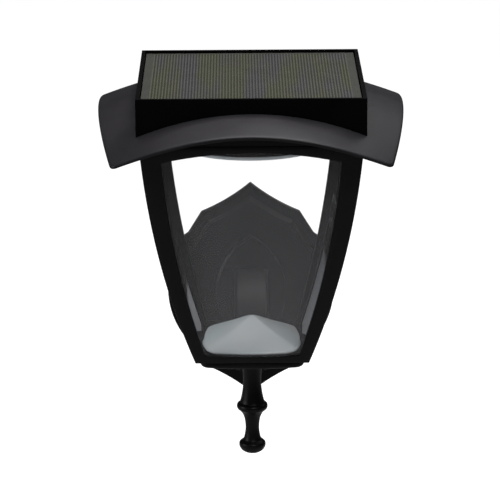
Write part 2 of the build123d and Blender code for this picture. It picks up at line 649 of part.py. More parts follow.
def make_lens():
    """Moulded light lens: domed face, rounded edge, flange and prism rings inside."""
    foot, rim = LENS_FOOT_Z + LENS_CROWN, BOARD_TOP_Z
    outer = [
        Line((0, rim), (LENS_FLANGE_R, rim)),
        Line((LENS_FLANGE_R, rim), (LENS_FLANGE_R, rim - LENS_FLANGE)),
        Line((LENS_FLANGE_R, rim - LENS_FLANGE), (LENS_R, rim - LENS_FLANGE)),
        Line((LENS_R, rim - LENS_FLANGE), (LENS_R, foot + LENS_EDGE_R)),
        RadiusArc((LENS_R, foot + LENS_EDGE_R), (LENS_R - LENS_EDGE_R, foot), LENS_EDGE_R),
        cap_arc((LENS_R - LENS_EDGE_R, foot), (0, LENS_FOOT_Z)),
        Line((0, LENS_FOOT_Z), (0, rim)),
    ]
    lens = revolve(Plane.XZ * make_face(outer), Axis.Z)
    inner_foot = foot + LENS_WALL
    lens -= disc(LENS_R - LENS_WALL, inner_foot, rim + 1)
    count = int((LENS_R - LENS_WALL - LENS_PLAIN_RIM) / LENS_RIB_PITCH)
    for i in range(1, count + 1):
        radius = i * LENS_RIB_PITCH
        groove = Polyline(
            (radius - LENS_RIB_PITCH / 2, inner_foot),
            (radius, inner_foot - LENS_RIB_DEPTH),
            (radius, inner_foot),
            close=True,
        )
        lens -= revolve(Plane.XZ * make_face(groove), Axis.Z)
    return lens


def ring_screw_radius():
    return LENS_FLANGE_R + RING_PLAY + SCREW_M3[2] + RING_SCREW_MARGIN


def ring_screw_places():
    reach = ring_screw_radius()
    return [Pos(reach * cos(a), reach * sin(a), 0) for a in (pi / 4 + i * pi / 2 for i in range(4))]


def make_lens_ring():
    """Ring with four ears that clamps the lens flange to the tray."""
    foot_z = BOARD_TOP_Z - LENS_FLANGE - JOINT_GAP - RING_WALL
    outer_r = LENS_FLANGE_R + RING_PLAY + RING_WALL
    ring = disc(outer_r, foot_z, BOARD_TOP_Z)
    for place in ring_screw_places():
        ring += place * disc(RING_EAR_R, foot_z, BOARD_TOP_Z)
    ring -= disc(LENS_FLANGE_R + RING_PLAY, foot_z + RING_WALL, BOARD_TOP_Z + 1)
    ring -= disc(LENS_R + RING_PLAY, foot_z - 1, BOARD_TOP_Z + 1)
    for place in ring_screw_places():
        ring -= place * disc(SCREW_M3[2] + HOLE_PLAY, foot_z - 1, BOARD_TOP_Z + 1)
    return ring


def make_ring_screws():
    foot_z = BOARD_TOP_Z - LENS_FLANGE - JOINT_GAP - RING_WALL
    one = Pos(0, 0, foot_z) * screw(SCREW_M3, TRAY_TOP_Z - foot_z - SCREW_END_GAP)
    return solids_of([place * one for place in ring_screw_places()])


def led_places():
    rings = ((LED_INNER_COUNT, LED_INNER_RING_R), (LED_OUTER_COUNT, LED_OUTER_RING_R))
    return [Rot(0, 0, 360 * i / count) * Pos(radius, 0, 0) for count, radius in rings for i in range(count)]


def make_led_board():
    return pipe(LED_BOARD_R, WIRE_HOLE_R, LED_BOARD_FOOT_Z, BOARD_TOP_Z)


def make_leds():
    """Surface-mounted LEDs in two rings on the underside of their board."""
    length, width, height = LED_SIZE
    centre_z = LED_BOARD_FOOT_Z - height / 2
    return solids_of([p * Pos(0, 0, centre_z) * Box(length, width, height) for p in led_places()])


# ------------------------------------------------------------------ electronics
def controller_places():
    length, width = CONTROLLER_SIZE
    inset = STANDOFF_R + STANDOFF_MARGIN
    return [
        Pos(sx * (length / 2 - inset), CONTROLLER_Y + sy * (width / 2 - inset), 0)
        for sx in (-1, 1)
        for sy in (-1, 1)
    ]


def controller_top_z():
    return TRAY_TOP_Z + STANDOFF_HEIGHT + SEAT + BOARD_THICKNESS


def make_controller_board():
    """Circuit board with a coil, a chip, a connector and a capacitor."""
    length, width = CONTROLLER_SIZE
    top = controller_top_z()
    board = Pos(0, CONTROLLER_Y, top - BOARD_THICKNESS / 2) * Box(length, width, BOARD_THICKNESS)
    for place in controller_places():
        board -= place * disc(SCREW_M3[2] + HOLE_PLAY, top - BOARD_THICKNESS - 1, top + 1)
    for x, y, part_length, part_width, height in (COIL, CHIP, CONNECTOR):
        board += Pos(x, CONTROLLER_Y + y, top + height / 2) * Box(part_length, part_width, height)
    return board + Pos(CAPACITOR_X, CONTROLLER_Y, 0) * disc(CAPACITOR_R, top, top + CAPACITOR_HEIGHT)


def make_controller_screws():
    one = Rot(180, 0, 0) * screw(SCREW_M3, BOARD_THICKNESS + CONTROLLER_SCREW_BITE)
    return solids_of([place * Pos(0, 0, controller_top_z()) * one for place in controller_places()])


def cell_axis_z():
    return TRAY_TOP_Z + JOINT_GAP + CRADLE_WALL + CELL_R + CELL_PLAY


def make_battery_cell():
    """Cylindrical rechargeable cell, lying along X, with its raised positive end."""
    cell = Rot(0, 90, 0) * Cylinder(CELL_R, CELL_LENGTH - CELL_NUB_LENGTH)
    cell = fillet(cell.edges(), CELL_EDGE_R)
    nub = Rot(0, 90, 0) * Cylinder(CELL_NUB_R, CELL_NUB_LENGTH)
    cell += Pos((CELL_LENGTH - CELL_NUB_LENGTH) / 2, 0, 0) * nub
    return Pos(0, CELL_Y, cell_axis_z()) * cell


def make_battery_cradle():
    """Open-topped trough with end walls."""
    inner_length = CELL_LENGTH + 2 * CONTACT_GAP
    inner_width = 2 * (CELL_R + CRADLE_PLAY)
    height = CELL_R * 1.5
    foot_z = TRAY_TOP_Z + JOINT_GAP
    block = extrude(Rectangle(inner_length + 2 * CRADLE_WALL, inner_width + 2 * CRADLE_WALL), height)
    hollow = Pos(0, 0, CRADLE_WALL) * extrude(Rectangle(inner_length, inner_width), height)
    return Pos(0, CELL_Y, foot_z) * (block - hollow)


def make_battery_contacts():
    """Sprung metal plate at each end of the cell."""
    pieces = []
    thickness = CONTACT_PLATE[0]
    plate = Box(*CONTACT_PLATE)
    nose = Rot(0, 90, 0) * Cylinder(CONTACT_NOSE_R, CONTACT_NOSE_LENGTH)
    reach = CELL_LENGTH / 2 + CONTACT_GAP - CONTACT_END_GAP - thickness / 2
    for side in (-1, 1):
        contact = plate + Pos(-side * (thickness + CONTACT_NOSE_LENGTH) / 2, 0, 0) * nose
        pieces.append(Pos(side * reach, CELL_Y, cell_axis_z()) * contact)
    return solids_of(pieces)


def switch_place():
    return Pos(SWITCH_X, SWITCH_Y, 0)


def bush_foot_z():
    return TRAY_FLOOR_Z - SWITCH_NUT_HEIGHT - SWITCH_BUSH_PROUD


def make_switch_body():
    """Push switch: a block above the tray floor and a threaded bush through it."""
    length, width, height = SWITCH_BODY
    seat_z = TRAY_TOP_Z + SEAT
    body = Pos(0, 0, seat_z + height / 2) * Box(length, width, height)
    body += disc(SWITCH_BUSH_R, bush_foot_z(), seat_z)
    for side in (-1, 1):
        body += Pos(side * SWITCH_LUG_X, 0, seat_z + height + SWITCH_LUG[2] / 2) * Box(*SWITCH_LUG)
    body -= disc(BUTTON_R + BUTTON_PLAY, bush_foot_z() - 1, seat_z + height - SWITCH_CAP)
    return switch_place() * body


def make_switch_nut():
    foot_z = TRAY_FLOOR_Z - SWITCH_NUT_HEIGHT - 2 * SEAT
    return switch_place() * hex_nut(SWITCH_NUT_AF, SWITCH_BUSH_R + STUD_PLAY, foot_z, SWITCH_NUT_HEIGHT)


def make_switch_button():
    foot_z = bush_foot_z() - BUTTON_PROUD
    top_z = TRAY_TOP_Z + SWITCH_BODY[2] - SWITCH_CAP - BUTTON_TRAVEL - BUTTON_END_GAP
    button = disc(BUTTON_R, foot_z, top_z)
    button = fillet(button.edges().group_by(Axis.Z)[0], BUTTON_EDGE_R)
    return switch_place() * button


# ------------------------------------------------------------------ wall side
def plate_outline():
    """Shield with a pointed head and foot, straight shoulders and bulging sides."""
    apex = (0, PLATE_APEX_Z)
    shoulder, side = PLATE_SHOULDER, PLATE_SIDE
    bow_in = mid_bow(apex, shoulder, PLATE_OGEE)

    def quarter(sx, sz):
        return [
            ThreePointArc(
                (0, sz * apex[1]), (sx * bow_in[0], sz * bow_in[1]), (sx * shoulder[0], sz * shoulder[1])
            ),
            Line((sx * shoulder[0], sz * shoulder[1]), (sx * side[0], sz * side[1])),
        ]

    def bulge(sx):
        return ThreePointArc((sx * side[0], side[1]), (sx * PLATE_BULGE_HALF, 0), (sx * side[0], -side[1]))

    edges = [edge for sx in (-1, 1) for sz in (-1, 1) for edge in quarter(sx, sz)]
    return make_face(edges + [bulge(-1), bulge(1)])


def on_wall(face, depth, taper=0.0):
    """Face drawn in X and Z, raised from the wall plane towards the front."""
    return extrude(Plane.XZ * face, depth, taper=taper)


def make_wall_plate():
    """Stepped shield, hollow behind, with two strips that hang on the hanger's hooks."""
    outline = plate_outline()
    panel = offset(outline, -PLATE_FLANGE_WIDTH, kind=Kind.INTERSECTION)
    step = PLATE_DEPTH - PLATE_FLANGE_DEPTH
    plate = on_wall(outline, PLATE_FLANGE_DEPTH)
    plate = chamfer(plate.edges().group_by(Axis.Y)[0], PLATE_CHAMFER)
    plate += Pos(0, -PLATE_FLANGE_DEPTH, 0) * on_wall(panel, step, taper=PLATE_BEVEL)
    rim = offset(outline, -PLATE_WALL, kind=Kind.INTERSECTION)
    room = offset(outline, -PLATE_FLANGE_WIDTH - step, kind=Kind.INTERSECTION)
    plate -= on_wall(rim, PLATE_FLANGE_DEPTH - PLATE_WALL)
    plate -= on_wall(room, PLATE_DEPTH - PLATE_WALL)
    plate -= Pos(0, PLATE_OFF_WALL, 0) * Box(CUT_REACH, 4 * PLATE_OFF_WALL, CUT_REACH)
    inner_y = -(PLATE_DEPTH - PLATE_WALL)
    back_y = -(HANGER_WALL + HOOK_GAP)
    for level in HOOK_LEVELS:
        foot_z = level + HANGER_WALL + HOOK_GAP
        web_z = level + HANGER_WALL + HOOK_LIP + 2 * HOOK_GAP
        top_z = web_z + HANG_WEB
        hang = Pos(0, back_y - HANG_WALL / 2, (foot_z + top_z) / 2)
        plate += hang * Box(HANG_WIDTH, HANG_WALL, top_z - foot_z)
        web = Pos(0, (inner_y + back_y) / 2, (web_z + top_z) / 2)
        plate += web * Box(HANG_WIDTH, back_y - inner_y, HANG_WEB)
    for sz in (-1, 1):
        plate -= arm_screw_hole(sz, SCREW_M4[2] + HOLE_PLAY)
    return plate


def arm_screw_hole(sz, radius):
    hole = Rot(90, 0, 0) * Cylinder(radius, 2 * (PLATE_DEPTH + BOSS_DEPTH - ARM_HOLE_SKIN))
    return Pos(0, 0, sz * ARM_SCREW_HALF) * hole


def vesica(half_height, half_width):
    """Pointed oval between two arcs."""
    return make_face([
        ThreePointArc((0, -half_height), (half_width, 0), (0, half_height)),
        ThreePointArc((0, half_height), (-half_width, 0), (0, -half_height)),
    ])


def make_arm():
    """Boss on the wall plate, tapering arm and a round tongue under the base pan."""
    face_y = -(PLATE_DEPTH + JOINT_GAP)
    root_y = face_y - BOSS_DEPTH + ARM_IN_BOSS
    nose_y = -AXIS_TO_WALL + body_half(ARM_NOSE_TOP_Z) + ARM_BEHIND_BODY
    boss = Pos(0, face_y, 0) * on_wall(vesica(BOSS_HALF_HEIGHT, BOSS_HALF_WIDTH), BOSS_DEPTH)
    boss = chamfer(boss.edges().group_by(Axis.Y)[0], BOSS_CHAMFER)
    crown = [(root_y, ARM_ROOT_TOP_Z), (nose_y, ARM_NOSE_TOP_Z)]
    belly = [(nose_y, TONGUE_FOOT_Z), (root_y, ARM_ROOT_FOOT_Z)]
    side = make_face([
        ThreePointArc(crown[0], mid_bow(*crown, ARM_TOP_BOW), crown[1]),
        Line(crown[1], belly[0]),
        ThreePointArc(belly[0], mid_bow(*belly, ARM_BELLY_BOW), belly[1]),
        Line(belly[1], crown[0]),
    ])
    arm = extrude(Plane.YZ * side, ARM_WIDTH / 2, both=True)
    long_edges = arm.edges().filter_by(GeomType.CIRCLE)
    arm = fillet(long_edges, ARM_EDGE_R)
    tongue_y = nose_y + TONGUE_ROOT
    reach = AXIS_TO_WALL + tongue_y
    tongue = Pos(0, tongue_y - reach / 2, (TONGUE_TOP_Z + TONGUE_FOOT_Z) / 2)
    arm += tongue * Box(ARM_WIDTH - 2 * ARM_EDGE_R, reach, TONGUE_THICKNESS)
    arm += Pos(0, -AXIS_TO_WALL, 0) * disc(TONGUE_R, TONGUE_FOOT_Z, TONGUE_TOP_Z)
    arm += boss
    arm -= Pos(0, -AXIS_TO_WALL, 0) * disc(STUD_R + HOLE_PLAY, TONGUE_FOOT_Z - 1, TONGUE_TOP_Z + 1)
    for sz in (-1, 1):
        arm -= arm_screw_hole(sz, SCREW_M4[2] + SCREW_PLAY)
    return arm


def make_arm_screws():
    seat_y = -(PLATE_DEPTH - PLATE_WALL)
    one = Rot(90, 0, 0) * screw(SCREW_M4, PLATE_WALL + BOSS_DEPTH - ARM_HOLE_SKIN - ARM_SCREW_END_GAP)
    return solids_of([Pos(0, seat_y, sz * ARM_SCREW_HALF) * one for sz in (-1, 1)])


def make_hanger():
    """Flat steel bar with two screw holes and two hooks bent up out of it."""
    bar = Rectangle(HANGER_WIDTH, 2 * HANGER_HALF_HEIGHT)
    bar = fillet(bar.vertices(), HANGER_CORNER_R)
    for sz in (-1, 1):
        bar -= Pos(0, sz * WALL_SCREW_HALF) * Circle(WALL_SCREW_HOLE_R)
    hanger = on_wall(bar, HANGER_WALL)
    lip_y = -(HANGER_WALL + HOOK_REACH)
    hook_width = HANGER_WIDTH - 2 * HOOK_INSET
    for level in HOOK_LEVELS:
        shelf = Pos(0, (lip_y - HANGER_WALL) / 2, level + HANGER_WALL / 2)
        hanger += shelf * Box(hook_width, HOOK_REACH, HANGER_WALL)
        lip = Pos(0, lip_y + HANGER_WALL / 2, level + (HANGER_WALL + HOOK_LIP) / 2)
        hanger += lip * Box(hook_width, HANGER_WALL, HANGER_WALL + HOOK_LIP)
    return hanger


# ------------------------------------------------------------------ all nodes
ON_AXIS = {
    "cage": make_cage,
    "base_pan": make_base_pan,
    "pan_screws": make_pan_screws,
    "reflector": make_reflector,
    "finial": make_finial,
    "finial_stud": make_stud,
    "stud_nut": make_nut,
    "stud_washer": make_washer,
    "roof_shell": make_roof_shell,
    "panel_housing": make_panel_housing,
    "solar_laminate": make_solar_laminate,
    "panel_tape": make_panel_tape,
    "head_tray": make_head_tray,
    "head_screws": make_head_screws,
    "lens": make_lens,
    "lens_ring": make_lens_ring,
    "ring_screws": make_ring_screws,
    "led_board": make_led_board,
    "leds": make_leds,
    "controller_board": make_controller_board,
    "controller_screws": make_controller_screws,
    "battery_cell": make_battery_cell,
    "battery_cradle": make_battery_cradle,
    "battery_contacts": make_battery_contacts,
    "switch_body": make_switch_body,
    "switch_nut": make_switch_nut,
    "switch_button": make_switch_button,
}

ON_WALL = {
    "wall_plate": make_wall_plate,
    "arm": make_arm,
    "arm_screws": make_arm_screws,
    "hanger_bar": make_hanger,
}


def make_nodes():
    """Every node of the lantern in the object's frame, by name."""
    nodes = {name: make() for name, make in ON_AXIS.items()}
    nodes.update(make_panes())
    nodes = {name: Pos(0, -AXIS_TO_WALL, 0) * shape for name, shape in nodes.items()}
    nodes.update({name: make() for name, make in ON_WALL.items()})
    return nodes


os.makedirs("parts", exist_ok=True)
for name, shape in make_nodes().items():
    export_step(shape, f"parts/{name}.step")
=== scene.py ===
# %% [markdown]
# # A solar wall lantern in Blender
# The lantern is a bowed four-sided cage with clear panes, under a cushion-shaped roof that carries
# a solar panel. It hangs on a shield-shaped wall plate by a bracket arm. The solids come from the
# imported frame, in metres, with the wall in the plane y = 0 and the lantern in front of it. They
# could all be made again here, but only those that need a finer surface are: roof, solar panel,
# lens, reflector, finial and panes. The others keep their solids and get a finish.

# %% Load the frame
import bpy
import json
import numpy as np
from math import cos, pi, radians, sin
from mathutils import Matrix, Vector


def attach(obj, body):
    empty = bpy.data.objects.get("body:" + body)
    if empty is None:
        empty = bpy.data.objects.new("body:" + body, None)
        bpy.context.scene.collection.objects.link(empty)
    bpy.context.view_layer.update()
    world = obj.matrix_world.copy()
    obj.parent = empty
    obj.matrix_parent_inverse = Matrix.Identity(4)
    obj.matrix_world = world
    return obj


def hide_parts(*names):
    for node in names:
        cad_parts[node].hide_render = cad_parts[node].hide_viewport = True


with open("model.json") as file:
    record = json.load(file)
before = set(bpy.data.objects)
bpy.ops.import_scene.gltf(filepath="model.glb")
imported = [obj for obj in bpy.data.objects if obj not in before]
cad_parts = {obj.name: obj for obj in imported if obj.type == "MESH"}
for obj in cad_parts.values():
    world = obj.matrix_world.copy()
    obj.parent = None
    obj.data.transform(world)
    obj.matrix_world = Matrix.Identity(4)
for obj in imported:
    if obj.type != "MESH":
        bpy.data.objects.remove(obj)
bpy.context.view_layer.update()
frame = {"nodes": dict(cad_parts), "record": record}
nodes = frame["nodes"]
scene = bpy.context.scene

MM = 0.001
AXIS_Y = -110.0  # mm: the lantern's upright axis stands this far out from the wall

# %% [markdown]
# ## The camera
# The picture was taken with a long lens from about two metres, a little above the lantern. The
# edges of the square panel converge, which fixes the distance and the height of the camera. A
# small shift, turn and roll take up how the lantern sat in the frame. The camera could be set by
# eye, but worked out like this, one pixel is a known length at the lantern's axis.

# %% Camera
IMAGE = 500  # the picture is 500 pixels wide and high
FOCAL_PIXELS = 2853.0
PIXEL = 0.6825 * MM  # what one pixel spans at the lantern's axis
ELEVATION = radians(16.29)
YAW = radians(-0.3)  # towards the left-hand side of the lantern
ROLL = radians(-0.3)
SENSOR = 36.0
CENTRE_PIXEL = (251.45, 250.4)
TARGET = Vector((0.0, AXIS_Y * MM, 0.0594))

distance = FOCAL_PIXELS * PIXEL
sight = Vector((-sin(YAW) * cos(ELEVATION), cos(YAW) * cos(ELEVATION), -sin(ELEVATION)))
camera_data = bpy.data.cameras.new("Camera")
camera = bpy.data.objects.new("Camera", camera_data)
scene.collection.objects.link(camera)
camera_data.sensor_width = SENSOR
camera_data.lens = FOCAL_PIXELS / IMAGE * SENSOR
camera_data.shift_x = (IMAGE / 2 - CENTRE_PIXEL[0]) / IMAGE
camera_data.shift_y = (CENTRE_PIXEL[1] - IMAGE / 2) / IMAGE
camera_data.clip_start = 0.05
turn = sight.to_track_quat("-Z", "Y").to_matrix().to_4x4() @ Matrix.Rotation(ROLL, 4, "Z")
camera.matrix_world = Matrix.Translation(TARGET - sight * distance) @ turn
scene.camera = camera
print("camera at", [round(v, 4) for v in camera.location], "lens", round(camera_data.lens, 1), "mm")

# %% [markdown]
# ## The room
# Faces that look at the camera stay nearly black, because the room is dim. An image of a room
# could light the lantern as well, but two plain levels are easier to read and to change: a dim
# glow for bounced light, and white where the camera sees the world, straight or through a pane.

# %% World
scene.view_settings.view_transform = "Standard"
BACKDROP_GLOW = 0.05  # how bright the backdrop is in a reflection, from 0 to 1
ROOM_GLOW = 0.04  # the same for the room behind the camera
ROOM_END, BACKDROP_START = -0.6, 0.8  # where a direction's y passes from one to the other


def new_tree(material):
    """Empties a material's or world's node tree and returns it."""
    material.use_nodes = True
    material.node_tree.nodes.clear()
    return material.node_tree


def add_node(tree, kind, inputs=(), **settings):
    """A new node. Settings go on the node, and inputs holds (socket, value or output to link)."""
    node = tree.nodes.new(kind)
    for key, value in settings.items():
        setattr(node, key, value)
    for socket, value in dict(inputs).items():
        if isinstance(value, bpy.types.NodeSocket):
            tree.links.new(value, node.inputs[socket])
        else:
            node.inputs[socket].default_value = value
    return node


def math_node(tree, operation, first, second=0.0):
    """The result of one Math node."""
    return add_node(tree, "ShaderNodeMath", {0: first, 1: second}, operation=operation).outputs[0]


def seen_directly(tree):
    """1 for camera rays and for rays through clear panes, otherwise 0."""
    path = add_node(tree, "ShaderNodeLightPath")
    return math_node(tree, "MAXIMUM", path.outputs["Is Camera Ray"], path.outputs["Is Transmission Ray"])


world = bpy.data.worlds.new("Studio")
scene.world = world
tree = new_tree(world)
direction = add_node(tree, "ShaderNodeTexCoord").outputs["Generated"]
depth = add_node(tree, "ShaderNodeSeparateXYZ", {0: direction}).outputs["Y"]
glow = add_node(tree, "ShaderNodeMapRange", {
    "Value": depth, "From Min": ROOM_END, "From Max": BACKDROP_START,
    "To Min": ROOM_GLOW, "To Max": BACKDROP_GLOW,
}).outputs[0]
room = add_node(tree, "ShaderNodeBackground", {"Color": (0.94, 0.96, 1.0, 1.0), "Strength": glow})
white = add_node(tree, "ShaderNodeBackground", {"Color": (1.0, 1.0, 1.0, 1.0), "Strength": 1.0})
mix = add_node(tree, "ShaderNodeMixShader", {0: seen_directly(tree), 1: room.outputs[0], 2: white.outputs[0]})
add_node(tree, "ShaderNodeOutputWorld", {"Surface": mix.outputs[0]})
print("world:", world.name, "with glow", ROOM_GLOW, "to", BACKDROP_GLOW)

# %% [markdown]
# ## Lamps and floor
# The picture has a large soft lamp right overhead, which gives faces that look up a grey sheen. A
# weak one stands behind on the right. One high in front lights the inside through the panes, and a
# small one low on the left draws the posts. The floor is grey to the lamps, so that it throws
# little light back, and its own light makes it white to the eye.

# %% Lamps and floor
LANTERN = (0.0, -0.11, 0.08)  # what every lamp is aimed at, in metres
LAMPS = (
    # name, place in metres, size in metres, watts, colour
    ("Overhead", (0.1, -0.1, 1.6), 1.2, 48.0, (1.0, 0.975, 0.99)),
    ("Back right", (0.5, 0.65, 1.3), 1.1, 5.5, (1.0, 1.0, 1.0)),
    ("Front fill", (0.4, -1.6, 1.6), 0.8, 15.0, (1.0, 1.0, 1.0)),
    ("Left fill", (-1.5, -0.5, 0.35), 0.7, 8.0, (0.97, 1.0, 1.0)),
)
FLOOR_HALF, FLOOR_Z = 6.0, -0.36  # metres
FLOOR_SHADE = 0.32  # how much of the lamps' light the floor throws back
FLOOR_GLOW = 0.94  # its own light, which together with that makes it white


def soft_lamp(name, place, size, watts, colour):
    """A square area lamp that faces the lantern and doesn't show through the panes."""
    data = bpy.data.lights.new(name, "AREA")
    data.shape, data.size, data.energy, data.color = "SQUARE", size, watts, colour
    lamp = bpy.data.objects.new(name, data)
    scene.collection.objects.link(lamp)
    gaze = (Vector(LANTERN) - Vector(place)).to_track_quat("-Z", "Y").to_matrix().to_4x4()
    lamp.matrix_world = Matrix.Translation(place) @ gaze
    lamp.visible_transmission = False


for lamp in LAMPS:
    soft_lamp(*lamp)

floor_mesh = bpy.data.meshes.new("Floor")
corners = [(x * FLOOR_HALF, y * FLOOR_HALF, FLOOR_Z) for x, y in ((-1, -1), (1, -1), (1, 1), (-1, 1))]
floor_mesh.from_pydata(corners, [], [(0, 1, 2, 3)])
floor = bpy.data.objects.new("Floor", floor_mesh)
scene.collection.objects.link(floor)
floor_paint = bpy.data.materials.new("Floor white")
tree = new_tree(floor_paint)
matte = add_node(tree, "ShaderNodeBsdfDiffuse", {"Color": (FLOOR_SHADE, FLOOR_SHADE, FLOOR_SHADE, 1.0)})
lift = math_node(tree, "MULTIPLY", seen_directly(tree), FLOOR_GLOW)
shine = add_node(tree, "ShaderNodeEmission", {"Color": (1.0, 1.0, 1.0, 1.0), "Strength": lift})
both = add_node(tree, "ShaderNodeAddShader", {0: matte.outputs[0], 1: shine.outputs[0]})
add_node(tree, "ShaderNodeOutputMaterial", {"Surface": both.outputs[0]})
floor_mesh.materials.append(floor_paint)

# %% [markdown]
# ## Finishes
# Each finish is one Principled shader with a few textures that read the object's own coordinates,
# which are metres here. Painted images would need a map of every piece, and these textures need
# none. A value that is the same everywhere stays on the shader's socket.

# %% Tools for finishes


def finish(name, colour, roughness, **sockets):
    """A new material with one Principled shader. Returns the material, its tree and the shader."""
    material = bpy.data.materials.new(name)
    tree = new_tree(material)
    values = {"Base Color": (*colour, 1.0), "Roughness": roughness}
    values.update({key.replace("_", " "): value for key, value in sockets.items()})
    shader = add_node(tree, "ShaderNodeBsdfPrincipled", values)
    add_node(tree, "ShaderNodeOutputMaterial", {"Surface": shader.outputs[0]})
    return material, tree, shader


def feed(shader, socket, value):
    """Links an output to one of the shader's sockets."""
    shader.id_data.links.new(value, shader.inputs[socket])


def place_of(tree, stretch=(1.0, 1.0, 1.0)):
    """Object coordinates, each axis multiplied by stretch."""
    coords = add_node(tree, "ShaderNodeTexCoord").outputs["Object"]
    if stretch == (1.0, 1.0, 1.0):
        return coords
    return add_node(tree, "ShaderNodeMapping", {"Vector": coords, "Scale": stretch}).outputs[0]


def axes_of(tree):
    """The three sockets X, Y and Z of the object coordinates."""
    return add_node(tree, "ShaderNodeSeparateXYZ", {0: place_of(tree)}).outputs


def noise(tree, per_metre, detail=3.0, stretch=(1.0, 1.0, 1.0)):
    """A noise of about that many features per metre, from 0 to 1."""
    return add_node(tree, "ShaderNodeTexNoise", {
        "Vector": place_of(tree, stretch), "Scale": per_metre, "Detail": detail,
    }).outputs["Fac"]


def ramp(tree, value, low, high, out_low, out_high):
    """Maps low..high to out_low..out_high and holds the ends."""
    return add_node(tree, "ShaderNodeMapRange", {
        "Value": value, "From Min": low, "From Max": high, "To Min": out_low, "To Max": out_high,
    }).outputs[0]


def two_colours(tree, factor, first, second):
    """A mix of two colours, each a tuple or an output."""
    node = add_node(tree, "ShaderNodeMix", {0: factor}, data_type="RGBA")
    for socket, colour in zip((6, 7), (first, second)):
        if isinstance(colour, bpy.types.NodeSocket):
            tree.links.new(colour, node.inputs[socket])
        else:
            node.inputs[socket].default_value = (*colour, 1.0)
    return node.outputs[2]


def relief(tree, shader, height, depth):
    """Bumps the shader's surface by a height of 0 to 1 times depth in metres."""
    node = add_node(tree, "ShaderNodeBump", {"Height": height, "Distance": depth})
    feed(shader, "Normal", node.outputs[0])


print("textures read object coordinates in metres")

# %% [markdown]
# ### Black moulded plastic
# Nearly all of the lantern is satin black. The roof is a little greyer and has a fine grain, as
# from a blasted mould, and the box for the panel is smoother. One flat black would be simpler, but
# it would look like a hole in the picture, so slow clouds change its shade and gloss.

# %% Black plastics


def moulded(name, dark, light, roughness, gloss, grain):
    """Plastic with slow clouds of two shades, a roughness that follows them and a fine grain."""
    material, tree, shader = finish(name, dark, roughness[0], Specular_IOR_Level=gloss)
    cloud = noise(tree, 34.0, 4.0)
    feed(shader, "Base Color", two_colours(tree, ramp(tree, cloud, 0.35, 0.65, 0.0, 1.0), dark, light))
    feed(shader, "Roughness", ramp(tree, cloud, 0.3, 0.7, *roughness))
    relief(tree, shader, noise(tree, 1900.0, 2.0), grain)
    return material


black_plastic = moulded(
    "Satin black plastic", (0.0016, 0.0016, 0.0018), (0.0036, 0.0034, 0.0038),
    roughness=(0.37, 0.46), gloss=0.15, grain=0.02 * MM)
roof_plastic = moulded(
    "Grained black plastic", (0.0085, 0.008, 0.0092), (0.0115, 0.0108, 0.0124),
    roughness=(0.38, 0.46), gloss=0.14, grain=0.04 * MM)
box_plastic = moulded(
    "Smooth black plastic", (0.0008, 0.0008, 0.0008), (0.0014, 0.0014, 0.0014),
    roughness=(0.3, 0.36), gloss=0.05, grain=0.01 * MM)
print("plastics:", black_plastic.name, roof_plastic.name, box_plastic.name)

# %% [markdown]
# ### Clear panes
# A pane is clear polycarbonate, and a sheen gives the faint grey haze that it lays over dark
# things behind it. Glass alone would cast a dark shadow, and panes seen through other panes would
# glitter, so shadow, diffuse and mirrored rays pass through plain transparency instead. Slow waves
# in its faces bend the view a little.

# %% Clear pane
clear_pane, tree, shader = finish(
    "Clear polycarbonate", (1.0, 1.0, 1.0), 0.02, Transmission_Weight=1.0, IOR=1.22,
    Sheen_Weight=0.8, Sheen_Roughness=0.5, Sheen_Tint=(0.98, 0.96, 1.0, 1.0))
relief(tree, shader, noise(tree, 14.0, 1.0), 0.2 * MM)
out = [n for n in tree.nodes if n.type == "OUTPUT_MATERIAL"][0]
path = add_node(tree, "ShaderNodeLightPath")
open_air = add_node(tree, "ShaderNodeBsdfTransparent", {"Color": (0.94, 0.955, 0.96, 1.0)})
mirrored = math_node(tree, "SUBTRACT", path.outputs["Is Glossy Ray"], path.outputs["Is Transmission Ray"])
bounced = math_node(tree, "MAXIMUM", path.outputs["Is Diffuse Ray"], mirrored)
passing = math_node(tree, "MAXIMUM", path.outputs["Is Shadow Ray"], bounced)
mix = add_node(tree, "ShaderNodeMixShader", {0: passing, 1: shader.outputs[0], 2: open_air.outputs[0]})
tree.links.new(mix.outputs[0], out.inputs["Surface"])
print("pane:", clear_pane.name, "with", len(tree.nodes), "nodes")

# %% [markdown]
# ### Lens and reflector
# The lens is frosted inside, so it is nearly white and lets little through. The reflector is
# white plastic with a soft gloss. Both could be plain white, but a slow change of shade and a fine
# relief keep their large smooth faces from looking flat.

# %% Lens and reflector finishes
lens_clear, tree, shader = finish(
    "Frosted lens", (0.9, 0.97, 0.99), 0.3, Transmission_Weight=0.05, IOR=1.5,
    Sheen_Weight=0.7, Sheen_Roughness=0.6, Sheen_Tint=(0.88, 0.96, 0.97, 1.0))
relief(tree, shader, noise(tree, 320.0, 2.0), 0.06 * MM)

reflector_white, tree, shader = finish(
    "Reflector white", (0.7, 0.7, 0.7), 0.32, Coat_Weight=0.15, Coat_Roughness=0.2)
soft = ramp(tree, noise(tree, 26.0, 2.0), 0.35, 0.65, 0.0, 1.0)
feed(shader, "Base Color", two_colours(tree, soft, (0.72, 0.79, 0.8), (0.82, 0.82, 0.83)))
relief(tree, shader, noise(tree, 900.0, 2.0), 0.01 * MM)
print("lens and reflector:", lens_clear.name, reflector_white.name)

# %% [markdown]
# ### Solar laminate
# The solar cell is dark olive with printed silver fingers from front to back, under a glossy
# laminate, and has a plain border. The fingers could be thin strips of mesh, but they are printed
# flat, so a cosine across the panel draws them. Long streaks shift the shade from olive to grey.

